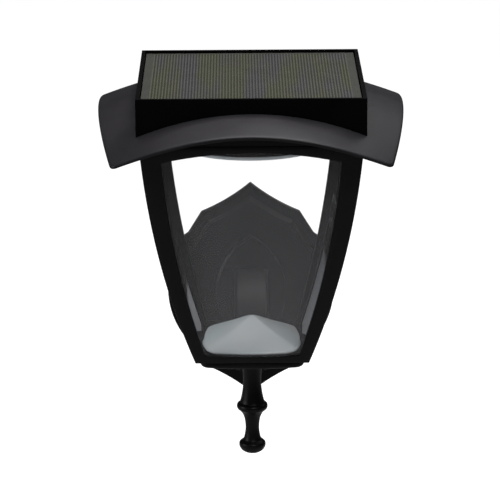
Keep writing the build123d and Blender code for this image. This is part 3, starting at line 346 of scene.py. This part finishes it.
# %% Solar finish
FINGER_PITCH = 2.0 * MM
FINGERS_SIDE = 66.5 * MM  # the fingers stop this far from the axis at the sides
FINGERS_END = 69.0 * MM  # and this far at the front and the back
BORDER_COLOUR = (0.0325, 0.0333, 0.0295)
SILVER_COLOURS = (0.0515, 0.0535, 0.0385), (0.0495, 0.0495, 0.0495)  # in an olive and a grey streak
CELL_COLOURS = (0.0195, 0.0205, 0.0125), (0.0185, 0.0185, 0.0185)

solar_face, tree, shader = finish("Solar laminate", (0.04, 0.04, 0.03), 0.38, Specular_IOR_Level=0.22)
across, along, _ = axes_of(tree)
phase = math_node(tree, "COSINE", math_node(tree, "MULTIPLY", across, 2 * pi / FINGER_PITCH))
between = ramp(tree, phase, -0.3, 0.7, 1.0, 0.0)  # 0 on a finger and 1 halfway to the next
from_axis = math_node(tree, "ABSOLUTE", math_node(tree, "SUBTRACT", along, AXIS_Y * MM))
within_side = math_node(tree, "LESS_THAN", math_node(tree, "ABSOLUTE", across), FINGERS_SIDE)
within_end = math_node(tree, "LESS_THAN", from_axis, FINGERS_END)
within = math_node(tree, "MULTIPLY", within_side, within_end)
streak = ramp(tree, noise(tree, 70.0, 2.0, (1.0, 0.12, 1.0)), 0.42, 0.58, 0.0, 1.0)
silver = two_colours(tree, streak, *SILVER_COLOURS)
cell = two_colours(tree, streak, *CELL_COLOURS)
printed = two_colours(tree, between, silver, cell)
feed(shader, "Base Color", two_colours(tree, within, BORDER_COLOUR, printed))
feed(shader, "Roughness", ramp(tree, noise(tree, 60.0, 3.0), 0.3, 0.7, 0.29, 0.37))
print("fingers:", 2 * int(FINGERS_SIDE / FINGER_PITCH) + 1, "on", solar_face.name)

# %% [markdown]
# ### Metals
# The hanger and the nuts are zinc plated, with a faint spangle and drawn lines. The screws are
# blackened, and the spring contacts are nickel plated. One recipe with other colours and another
# stretch makes all three.

# %% Metals
SPANGLES = 260.0  # spangles per metre


def metal(name, dark, light, roughness, stretch=(1.0, 1.0, 1.0)):
    """Metal with patches of two shades and fine drawn lines, which stretch makes long."""
    material, tree, shader = finish(name, dark, roughness[0], Metallic=1.0)
    cells = add_node(tree, "ShaderNodeTexVoronoi", {"Vector": place_of(tree), "Scale": SPANGLES})
    patch = add_node(tree, "ShaderNodeSeparateXYZ", {0: cells.outputs["Color"]}).outputs["X"]
    drawn = noise(tree, 420.0, 3.0, stretch)
    shade = math_node(tree, "MULTIPLY", math_node(tree, "ADD", patch, drawn), 0.5)
    feed(shader, "Base Color", two_colours(tree, shade, dark, light))
    feed(shader, "Roughness", ramp(tree, drawn, 0.3, 0.7, *roughness))
    relief(tree, shader, drawn, 0.02 * MM)
    return material


zinc_steel = metal(
    "Zinc plated steel", (0.46, 0.47, 0.49), (0.62, 0.63, 0.64), (0.28, 0.42), (1.0, 1.0, 0.06))
black_screw = metal("Blackened steel", (0.022, 0.022, 0.024), (0.045, 0.044, 0.043), (0.3, 0.45))
nickel = metal(
    "Nickel plated spring steel", (0.6, 0.58, 0.54), (0.75, 0.73, 0.69), (0.16, 0.26), (1.0, 1.0, 0.1))
print("metals:", zinc_steel.name, black_screw.name, nickel.name)

# %% [markdown]
# ### Board and LEDs
# These only show when the head is lifted or taken apart. The LED board is white with solder pads,
# and each LED is a white case with yellow phosphor in its middle. Pads and phosphor could be
# pieces of their own, but they are thinner than paint, so the distance to the nearest LED of a
# ring draws them.

# %% Board and LEDs
LED_RINGS = ((8, 18.0), (16, 37.0))  # count and radius in mm, as in the solids
PAD_REACH, PHOSPHOR_REACH = 2.9, 1.15  # mm from the middle of an LED


def hypotenuse(tree, first, second):
    """The square root of first^2 + second^2."""
    squares = [math_node(tree, "MULTIPLY", value, value) for value in (first, second)]
    return math_node(tree, "SQRT", math_node(tree, "ADD", *squares))


def ring_distance(tree, count, radius):
    """Distance in metres to the nearest of count places on a ring of that radius in mm.

    With step = 2 pi / count, the angle from the nearest place is wrap(a, -step/2, step/2).
    """
    where = axes_of(tree)
    x, y = where["X"], math_node(tree, "SUBTRACT", where["Y"], AXIS_Y * MM)
    limits = {0: math_node(tree, "ARCTAN2", y, x), 1: pi / count, 2: -pi / count}
    off = add_node(tree, "ShaderNodeMath", limits, operation="WRAP").outputs[0]
    along = math_node(tree, "MULTIPLY", off, radius * MM)
    return hypotenuse(tree, along, math_node(tree, "SUBTRACT", hypotenuse(tree, x, y), radius * MM))


def near_led(tree, reach):
    """1 within reach mm of the middle of any LED, otherwise 0."""
    rings = [ring_distance(tree, count, radius) for count, radius in LED_RINGS]
    return math_node(tree, "LESS_THAN", math_node(tree, "MINIMUM", *rings), reach * MM)


led_board, tree, shader = finish("White solder mask", (0.78, 0.79, 0.78), 0.35)
mask = two_colours(tree, noise(tree, 120.0, 3.0), (0.7, 0.71, 0.7), (0.82, 0.83, 0.82))
feed(shader, "Base Color", two_colours(tree, near_led(tree, PAD_REACH), mask, (0.62, 0.63, 0.64)))
relief(tree, shader, noise(tree, 600.0, 2.0), 0.02 * MM)

led, tree, shader = finish("LED", (0.85, 0.84, 0.8), 0.3)
casing = two_colours(tree, noise(tree, 900.0, 2.0), (0.78, 0.78, 0.75), (0.86, 0.86, 0.83))
feed(shader, "Base Color", two_colours(tree, near_led(tree, PHOSPHOR_REACH), casing, (0.82, 0.62, 0.12)))
print("LEDs on the board:", sum(count for count, _ in LED_RINGS))

# %% [markdown]
# ### Other small parts inside
# Dark foam tape lies under the panel. The green circuit board has tracks and, above its top face,
# black parts. The cell has a blue sleeve with bare ends, and the button is a dark red. Board and
# cell could be cut into pieces of one colour, but each is one node, so a level on one axis tells
# where the second colour begins.

# %% Small parts
BOARD_TOP = 152.2  # mm: above it the solid is parts, not board
SLEEVE_HALF = 31.4  # mm: beyond it on both sides the cell is bare


def above(tree, level, axis="Z"):
    """1 where the object coordinate on the axis is above the level in mm, otherwise 0."""
    return math_node(tree, "GREATER_THAN", axes_of(tree)[axis], level * MM)


foam_tape, tree, shader = finish("Foam tape", (0.02, 0.02, 0.021), 0.9, Specular_IOR_Level=0.1)
cells = noise(tree, 1500.0, 3.0)
feed(shader, "Base Color", two_colours(tree, cells, (0.012, 0.012, 0.012), (0.03, 0.03, 0.031)))
relief(tree, shader, cells, 0.1 * MM)

circuit_board, tree, shader = finish("Green solder mask", (0.02, 0.14, 0.06), 0.32)
tracks = add_node(tree, "ShaderNodeTexBrick", {
    "Vector": place_of(tree), "Scale": 1.0,
    "Color1": (0.012, 0.12, 0.05, 1.0), "Color2": (0.02, 0.15, 0.065, 1.0), "Mortar": (0.03, 0.23, 0.1, 1.0),
    "Mortar Size": 0.3 * MM, "Brick Width": 11.0 * MM, "Row Height": 2.3 * MM,
}).outputs["Color"]
parts = two_colours(tree, noise(tree, 400.0, 2.0), (0.008, 0.008, 0.009), (0.02, 0.02, 0.021))
feed(shader, "Base Color", two_colours(tree, above(tree, BOARD_TOP), tracks, parts))
relief(tree, shader, noise(tree, 500.0, 2.0), 0.02 * MM)

battery_sleeve, tree, shader = finish("Shrink sleeve", (0.03, 0.11, 0.3), 0.3)
wrinkle = noise(tree, 160.0, 3.0, (0.3, 1.0, 1.0))
sleeve = two_colours(tree, wrinkle, (0.022, 0.085, 0.24), (0.038, 0.13, 0.34))
not_left = above(tree, -SLEEVE_HALF, "X")
bare = math_node(tree, "MAXIMUM", above(tree, SLEEVE_HALF, "X"), math_node(tree, "SUBTRACT", 1.0, not_left))
feed(shader, "Base Color", two_colours(tree, bare, sleeve, (0.5, 0.5, 0.48)))
feed(shader, "Metallic", bare)
relief(tree, shader, wrinkle, 0.05 * MM)

button_red, tree, shader = finish("Dark red gloss", (0.22, 0.012, 0.012), 0.2)
red = two_colours(tree, noise(tree, 300.0, 2.0), (0.18, 0.008, 0.008), (0.26, 0.016, 0.015))
feed(shader, "Base Color", red)
feed(shader, "Roughness", ramp(tree, noise(tree, 500.0, 3.0), 0.3, 0.7, 0.15, 0.27))
print("inside:", foam_tape.name, circuit_board.name, battery_sleeve.name, button_red.name)

# %% [markdown]
# ## Tools for shapes
# Each new piece is a surface worked out with numpy in millimetres about the lantern's own upright
# axis, and moved out from the wall when it becomes a mesh. Primitives and modifiers could make
# some of them, but a formula gives the measured curve itself. A piece is always closed, and its
# faces are turned so that the volume inside them is positive.

# %% Mesh tools


def grid_faces(rows, columns, wrap_rows=False, wrap_columns=False, first=0):
    """Quads between neighbours of a grid of points numbered row by row from first."""
    r = np.arange(rows if wrap_rows else rows - 1)
    c = np.arange(columns if wrap_columns else columns - 1)
    r, c = np.meshgrid(r, c, indexing="ij")
    row, row_below = r * columns, (r + 1) % rows * columns
    beside = (c + 1) % columns
    quads = np.stack([row + c, row + beside, row_below + beside, row_below + c], axis=-1)
    return quads.reshape(-1, 4) + first


def volume_of(points, faces):
    """Signed volume: the sum over triangles of a . (b x c) / 6."""
    total = 0.0
    for corners in (faces[:, [0, 1, 2]], faces[:, [0, 2, 3]]):
        a, b, c = (points[corners[:, i]] for i in range(3))
        total += np.einsum("ij,ij->i", a, np.cross(b, c)).sum() / 6
    return total


def as_piece(name, parts, material, body, node, smooth=True):
    """Joins closed parts, each (points in mm, quads), into one object that stands for a node.

    A quad that repeats its last corner is a triangle. The piece rides on the body.
    """
    points, faces, count = [], [], 0
    for part_points, part_faces in parts:
        part_points = part_points.reshape(-1, 3)
        if volume_of(part_points, part_faces) < 0:
            part_faces = part_faces[:, ::-1]
        points.append(part_points + (0.0, AXIS_Y, 0.0))
        faces.append(part_faces + count)
        count += len(part_points)
    points = np.concatenate(points)
    faces = [list(dict.fromkeys(quad)) for quad in np.concatenate(faces).tolist()]
    mesh = bpy.data.meshes.new(name)
    mesh.from_pydata((points * MM).tolist(), [], faces)
    mesh.update()
    mesh.shade_smooth() if smooth else mesh.shade_flat()
    mesh.materials.append(material)
    piece = bpy.data.objects.new(name, mesh)
    scene.collection.objects.link(piece)
    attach(piece, body)
    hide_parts(node)
    low, high = points.min(axis=0).round(1), points.max(axis=0).round(1)
    print(f"{name}: {len(faces)} faces, {low} to {high} mm")
    return piece


def shell(front, back):
    """Closed shell between two grids of the same size: both faces and the strip round their edge."""
    rows, columns = front.shape[:2]
    count = rows * columns
    faces = [grid_faces(rows, columns), grid_faces(rows, columns, first=count)[:, ::-1]]
    number = np.arange(count).reshape(rows, columns)
    rim = np.concatenate([number[0, :-1], number[:-1, -1], number[-1, :0:-1], number[:0:-1, 0]])
    after = np.roll(rim, -1)
    faces.append(np.stack([after, rim, rim + count, after + count], axis=-1))
    return np.concatenate([front.reshape(-1, 3), back.reshape(-1, 3)]), np.concatenate(faces)


def turned(x, y, degrees):
    """The point (x, y) turned about the axis: (x cos a - y sin a, x sin a + y cos a)."""
    ca, sa = cos(radians(degrees)), sin(radians(degrees))
    return x * ca - y * sa, x * sa + y * ca


print("pieces become meshes at y =", AXIS_Y, "mm")

# %% [markdown]
# ## Roof
# The roof is one thin moulding with a soft crown that falls to the eave and further to its four
# corners. A cloth-like sheet with Solidify could do, but its rim would be square. So a section is
# carried round the eave: over the top, round the rim, and back below. The rim's rounded edge is
# what catches the line of light in the picture.

# %% Outline of the roof
EAVE_MID, EAVE_CORNER, EAVE_FILLET = 102.19, 91.0, 6.0  # half widths at mid side and at the corner


def arc(centre, radius, start, end, count):
    """Points on a circle from one angle to another, in degrees."""
    a = np.radians(np.linspace(start, end, count))
    return np.stack([centre[0] + radius * np.cos(a), centre[1] + radius * np.sin(a)], axis=-1)


def cushion(mid, corner, fillet, per_side=48, per_corner=12):
    """Loop of a square with bulging sides: arcs through (corner, +-corner) and (mid, 0), filleted.

    The side's radius is (corner^2 + bulge^2) / (2 bulge), and the fillet's centre (c, c) lies
    radius - fillet from the side's centre.
    """
    bulge = mid - corner
    radius = (corner**2 + bulge**2) / (2 * bulge)
    centre = mid - radius
    c = (centre + np.sqrt(2 * (radius - fillet) ** 2 - centre**2)) / 2
    end = np.degrees(np.arctan2(c, c - centre))
    side = arc((centre, 0), radius, -end, end, per_side)
    turn_in = arc((c, c), fillet, end, 90 - end, per_corner)[1:-1]
    quarters = [np.concatenate([side, turn_in])]
    for _ in range(3):
        quarters.append(np.stack([-quarters[-1][:, 1], quarters[-1][:, 0]], axis=-1))
    return np.concatenate(quarters)


eave = cushion(EAVE_MID, EAVE_CORNER, EAVE_FILLET)
print("eave:", len(eave), "points, corner at", np.abs(eave).min(axis=1).max().round(2), "mm")

# %% Roof
CROWN_Z, EAVE_MID_Z, EAVE_CORNER_Z = 182.7, 164.5, 142.2
ROOF_WALL, ROOF_OPENING, RIM_ROUND = 2.5, 70.5, 0.9
RIB_HALF, RIB_DEPTH, RIB_ROOT = 0.8, 3.5, 0.3  # the four ribs under the corners
RIB_START, RIB_END = 106.7, 114.7  # their ends, measured from the axis
ROOF_FALL = (CROWN_Z - EAVE_MID_Z) / EAVE_MID**2
ROOF_DROOP = (CROWN_Z - 2 * ROOF_FALL * EAVE_CORNER**2 - EAVE_CORNER_Z) / EAVE_CORNER**4


def roof_height(x, y):
    """Crown of the roof: z = crown - fall (x^2 + y^2) - droop x^2 y^2."""
    return CROWN_Z - ROOF_FALL * (x**2 + y**2) - ROOF_DROOP * x**2 * y**2


eave_reach = np.hypot(*eave.T)[:, None]
outward = eave / eave_reach
opening_reach = eave_reach * (ROOF_OPENING / np.abs(eave).max(axis=1))[:, None]
steps = np.linspace(0, 1, 14)
quarter_turn = np.radians(np.linspace(0, 90, 6))
rounding = RIM_ROUND * (1 - np.cos(quarter_turn))
top_radius = opening_reach + (eave_reach - RIM_ROUND - opening_reach) * steps
rim_radius = eave_reach - RIM_ROUND * (1 - np.sin(quarter_turn))
back_radius = top_radius[:, ::-1][:, 1:]
radius = np.concatenate([top_radius, rim_radius[:, 1:], rim_radius[:, ::-1], back_radius], axis=1)
drop = np.concatenate([0 * steps, rounding[1:], ROOF_WALL - rounding[::-1], ROOF_WALL + 0 * steps[1:]])
x, y = (radius * outward[:, i:i + 1] for i in (0, 1))
skin = np.stack([x, y, roof_height(x, y) - drop], axis=-1)
roof_parts = [(skin, grid_faces(*radius.shape, wrap_rows=True, wrap_columns=True))]

run = np.linspace(RIB_START, RIB_END, 8)[:, None]
side = np.array([-RIB_HALF, RIB_HALF])[None, :]
for degrees in (45, 135, 225, 315):
    x, y = turned(run, side, degrees)
    under = roof_height(x, y) - ROOF_WALL
    levels = [np.stack([x, y, under + lift], axis=-1) for lift in (RIB_ROOT, -RIB_DEPTH)]
    roof_parts.append(shell(*levels))
as_piece("Roof", roof_parts, roof_plastic, "head", "roof_shell")

# %% [markdown]
# ## Solar laminate
# A glossy slab that lies in the rim of the box. Only its top shows. A cube with a bevel would do
# as well, but the two sheets of a shell give the slanted edge without a modifier.

# %% Solar laminate
LAMINATE_HALF, LAMINATE_TOP, LAMINATE_FOOT, LAMINATE_BEVEL = 72.2, 181.2, 178.2, 0.5
side = np.linspace(-1, 1, 25)
u, v = np.meshgrid(side, side, indexing="ij")
sheets = []
for half, level in ((LAMINATE_HALF - LAMINATE_BEVEL, LAMINATE_TOP), (LAMINATE_HALF, LAMINATE_FOOT)):
    sheets.append(np.stack([u * half, v * half, level + 0 * u], axis=-1))
as_piece("Solar_panel", [shell(*sheets)], solar_face, "head", "solar_laminate", smooth=False)

# %% [markdown]
# ## Lens
# The lens is a round moulding with a shallow dome, a rounded edge and a flange. Rings of small
# prisms run round its inside and faint ripples round its outside, so light breaks into streaks. A
# bump could hint at them, but the flank of a prism only reads as real when it is in the profile.

# %% Lens
LENS_R, LENS_WALL, LENS_FOOT, LENS_CROWN, LENS_EDGE = 55.0, 2.0, 135.1, 1.2, 2.6
LENS_FLANGE_R, LENS_FLANGE, LENS_RIM = 57.6, 2.0, 144.3
RING_PITCH, PRISM_TALL, RIPPLE = 5.0, 0.7, 0.16
PLAIN_EDGE, PLAIN_MIDDLE = 4.0, 4.0  # no prisms this close to the wall and to the axis
PLAIN_RIM = 2.0  # no ripples this close to the rounded edge


def capped(rings, first_tip, last_tip):
    """Closed skin over rings of equal count, from a tip before the first to one after the last."""
    rows, count = rings.shape[:2]
    here = np.arange(count)
    beside, end, tip = (here + 1) % count, here + (rows - 1) * count, np.full(count, rows * count)
    faces = [
        grid_faces(rows, count, wrap_columns=True),
        np.stack([beside, here, tip, tip], axis=-1),
        np.stack([end, beside + (rows - 1) * count, tip + 1, tip + 1], axis=-1),
    ]
    return np.concatenate([rings.reshape(-1, 3), [first_tip, last_tip]]), np.concatenate(faces)


def lathe(profile, turns):
    """Turns a profile of (radius, height) round the axis: (r cos a, r sin a, z).

    The profile starts and ends on the axis, at one shared point each, so both poles are closed.
    """
    angle = np.linspace(0, 2 * pi, turns, endpoint=False)
    r, z = profile[1:-1, :1], profile[1:-1, 1:]
    rings = np.stack([r * np.cos(angle), r * np.sin(angle), z + 0 * angle], axis=-1)
    return capped(rings, (0, 0, profile[0, 1]), (0, 0, profile[-1, 1]))


face_r = LENS_R - LENS_EDGE
r = np.linspace(0, face_r, 150)
dome = LENS_FOOT + LENS_CROWN * (r / face_r) ** 2
ripple = RIPPLE * (1 - np.cos(2 * pi * r / RING_PITCH)) * (r < face_r - PLAIN_RIM)
outside = np.stack([r, dome + ripple], axis=-1)
edge = arc((face_r, LENS_FOOT + LENS_CROWN + LENS_EDGE), LENS_EDGE, -90, 0, 12)[1:]
flange = [(LENS_R, LENS_RIM - LENS_FLANGE), (LENS_FLANGE_R, LENS_RIM - LENS_FLANGE),
          (LENS_FLANGE_R, LENS_RIM), (LENS_R - LENS_WALL, LENS_RIM)]
inner_r = np.linspace(LENS_R - LENS_WALL, 0, 220)
ribbed = (inner_r < LENS_R - LENS_WALL - PLAIN_EDGE) & (inner_r > PLAIN_MIDDLE)
prism = PRISM_TALL * ((inner_r / RING_PITCH) % 1.0) * ribbed
inside = np.stack([inner_r, LENS_FOOT + LENS_CROWN + LENS_WALL - prism], axis=-1)
lens_profile = np.concatenate([outside, edge, flange, inside])
as_piece("Lens", [lathe(lens_profile, 120)], lens_clear, "head", "lens")

# %% [markdown]
# ## Reflector
# A white moulding like a low tent. Its slopes are nearly straight, with a small round at the rim
# and a soft tip. Four flat triangles would have hard ridges, so a cushion-shaped loop shrinks
# towards the tip along a smooth section, once outside and once inside.

# %% Reflector
REFLECTOR_MID, REFLECTOR_CORNER, REFLECTOR_FILLET = 33.0, 29.4, 10.0
REFLECTOR_FOOT = -4.7
INNER_WIDTH, INNER_TALL = 0.955, 0.92  # size of the inside as a share of the outside
REFLECTOR_KNOTS = (  # share of the loop's size, and height in mm over the foot
    (0.99, 0.0), (1.0, 0.7), (0.985, 1.7), (0.945, 2.6), (0.86, 4.1), (0.62, 8.05),
    (0.38, 12.1), (0.17, 15.9), (0.09, 17.2), (0.035, 17.85), (0.0, 18.0),
)


def smooth_curve(knots, per_span):
    """Catmull-Rom curve through knots: on each span the cubic with slopes (next - previous) / 2."""
    knots = np.asarray(knots, float)
    padded = np.concatenate([[2 * knots[0] - knots[1]], knots, [2 * knots[-1] - knots[-2]]])
    p0, p1, p2, p3 = padded[:-3, None], padded[1:-2, None], padded[2:-1, None], padded[3:, None]
    t = np.linspace(0, 1, per_span, endpoint=False)[None, :, None]
    bend, twist = 2 * p0 - 5 * p1 + 4 * p2 - p3, 3 * p1 - p0 - 3 * p2 + p3
    cubic = 0.5 * (2 * p1 + (p2 - p0) * t + bend * t**2 + twist * t**3)
    return np.concatenate([cubic.reshape(-1, knots.shape[1]), knots[-1:]])


def loop_rings(loop, section):
    """Rings (s x, s y, foot + h) for the loop's (x, y) and each (s, h) of the section but its tip."""
    x, y = (section[:-1, :1] * loop[:, i] for i in (0, 1))
    return np.stack([x, y, REFLECTOR_FOOT + section[:-1, 1:] + 0 * x], axis=-1)


section = smooth_curve(REFLECTOR_KNOTS, 8)
outline = cushion(REFLECTOR_MID, REFLECTOR_CORNER, REFLECTOR_FILLET, 28, 12)
outer_rings = loop_rings(outline, section)
inner_rings = loop_rings(outline * INNER_WIDTH, section * (1.0, INNER_TALL))
tips = [(0, 0, REFLECTOR_FOOT + section[-1, 1] * share) for share in (1.0, INNER_TALL)]
tent = capped(np.concatenate([outer_rings[::-1], inner_rings]), *tips)
as_piece("Reflector", [tent], reflector_white, "lantern", "reflector")

# %% [markdown]
# ## Finial
# The finial looks turned: a flared neck, a bead, a slim waist, a second bead and a rounded foot.
# It could be stacked from cones and rings, but a lathe gives all of it from one profile. That is a
# smooth curve through a few measured points, with a small step at each bead.

# %% Finial
FINIAL_TOP, FINIAL_FOOT = -18.4, -87.0
FINIAL_PARTS = (  # radius and height in mm, from the top down
    ((9.0, FINIAL_TOP), (7.9, -20.4), (6.7, -26.0), (6.25, -33.0), (6.6, -40.0), (7.7, -46.4), (8.6, -49.6)),
    ((9.1, -50.0), (10.3, -51.0), (10.7, -52.6), (10.2, -54.2), (9.1, -55.2)),
    ((8.5, -55.7), (7.0, -57.6), (5.5, -61.2), (4.75, -66.6), (4.9, -71.0), (5.7, -75.2), (6.5, -77.2)),
    ((7.4, -77.6), (8.9, -79.0), (9.2, -80.8), (8.8, -82.4), (7.3, -84.6), (4.6, -86.2), (1.8, -86.93)),
)
curves = [smooth_curve(part, 6) for part in FINIAL_PARTS]
finial_profile = np.concatenate([[(0.0, FINIAL_TOP)], *curves, [(0.0, FINIAL_FOOT)]])
as_piece("Finial", [lathe(finial_profile, 96)], black_plastic, "lantern", "finial")

# %% [markdown]
# ## Panes
# Each pane is a sheet 1.5 mm thick that follows the bow of its side, in grooves behind the posts.
# The solid's own mesh would do for its outline, but a pane bends what shows through it, so it
# needs even rows along the bow. It is worked out for the front and turned for the other sides.

# %% Bow of the body
BODY_TOP, BODY_FOOT = (73.3, 151.0), (38.4, -9.0)  # half width and height at the body's ends
BOW_RADIUS = 620.0
chord = np.subtract(BODY_TOP, BODY_FOOT)
half_chord = np.hypot(*chord) / 2
inward = np.array([-chord[1], chord[0]]) / (2 * half_chord)
BOW_CENTRE = np.add(BODY_TOP, BODY_FOOT) / 2 + inward * np.sqrt(BOW_RADIUS**2 - half_chord**2)


def body_half(z, inset=0.0):
    """Half width at height z: x = centre + sqrt((radius - inset)^2 - (z - centre height)^2)."""
    return BOW_CENTRE[0] + np.sqrt((BOW_RADIUS - inset) ** 2 - (z - BOW_CENTRE[1]) ** 2)


print("body half width at z = 0, 70, 140 mm:", np.round(body_half(np.array([0.0, 70.0, 140.0])), 2))

# %% Panes
PANE_NEAR, PANE_FAR, PANE_EDGE = 3.15, 4.65, 5.55  # depths below the body's face
PANE_FOOT_Z, PANE_TOP_Z = -6.35, 150.85
PANE_POLISH = 0.35
across = np.linspace(-1, 1, 13)[None, :]
height = np.linspace(PANE_FOOT_Z, PANE_TOP_Z, 60)[:, None]
for name, degrees in (("front", 0), ("right", 90), ("back", 180), ("left", 270)):
    sheets = []
    for inset in (PANE_NEAR, PANE_FAR):
        x, y = turned(across * body_half(height, PANE_EDGE), -body_half(height, inset) + 0 * across, degrees)
        sheets.append(np.stack([x, y, height + 0 * across], axis=-1))
    pane = as_piece(f"Pane_{name}", [shell(*sheets)], clear_pane, "lantern", f"pane_{name}")
    edges = pane.modifiers.new("Polished edge", "BEVEL")
    edges.width, edges.segments, edges.angle_limit = PANE_POLISH * MM, 2, radians(50)

# %% [markdown]
# ## The pieces that stay as packed
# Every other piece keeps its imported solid. It gets the finish of its slot in the record, and the
# larger mouldings get softened edges, as no mould leaves a sharp one. They could be made again
# like the others, but their faces are fine enough as they are. Where two faces of a solid meet,
# their triangles don't share corners, so Weld joins these before Bevel rounds the edge.

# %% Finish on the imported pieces
FINISHES = {
    "black_plastic": black_plastic, "clear_pane": clear_pane, "white_reflector": reflector_white,
    "lens": lens_clear, "solar": solar_face, "foam_tape": foam_tape, "zinc_steel": zinc_steel,
    "black_screw": black_screw, "led_board": led_board, "led": led, "circuit_board": circuit_board,
    "battery_sleeve": battery_sleeve, "contact": nickel, "switch_button": button_red,
}
SOFT_EDGES = {"cage": 0.45, "panel_housing": 0.4, "wall_plate": 1.0, "arm": 0.5, "base_pan": 0.4}  # mm
WELD_REACH = 0.002 * MM
SHARP = radians(32)
slot_of = {part["node"]: part["material_slot"] for part in frame["record"]["subparts"]}
for name, node in nodes.items():
    paint = box_plastic if name == "panel_housing" else FINISHES[slot_of[name]]
    for material_slot in node.material_slots:
        material_slot.material = paint
for name, width in SOFT_EDGES.items():
    weld = nodes[name].modifiers.new("Weld", "WELD")
    weld.merge_threshold = WELD_REACH
    bevel = nodes[name].modifiers.new("Soft edges", "BEVEL")
    bevel.width, bevel.segments = width * MM, 2
    bevel.limit_method, bevel.angle_limit = "ANGLE", SHARP
    bevel.use_clamp_overlap = True
print("finished as packed:", len(nodes), "nodes; softened:", list(SOFT_EDGES))
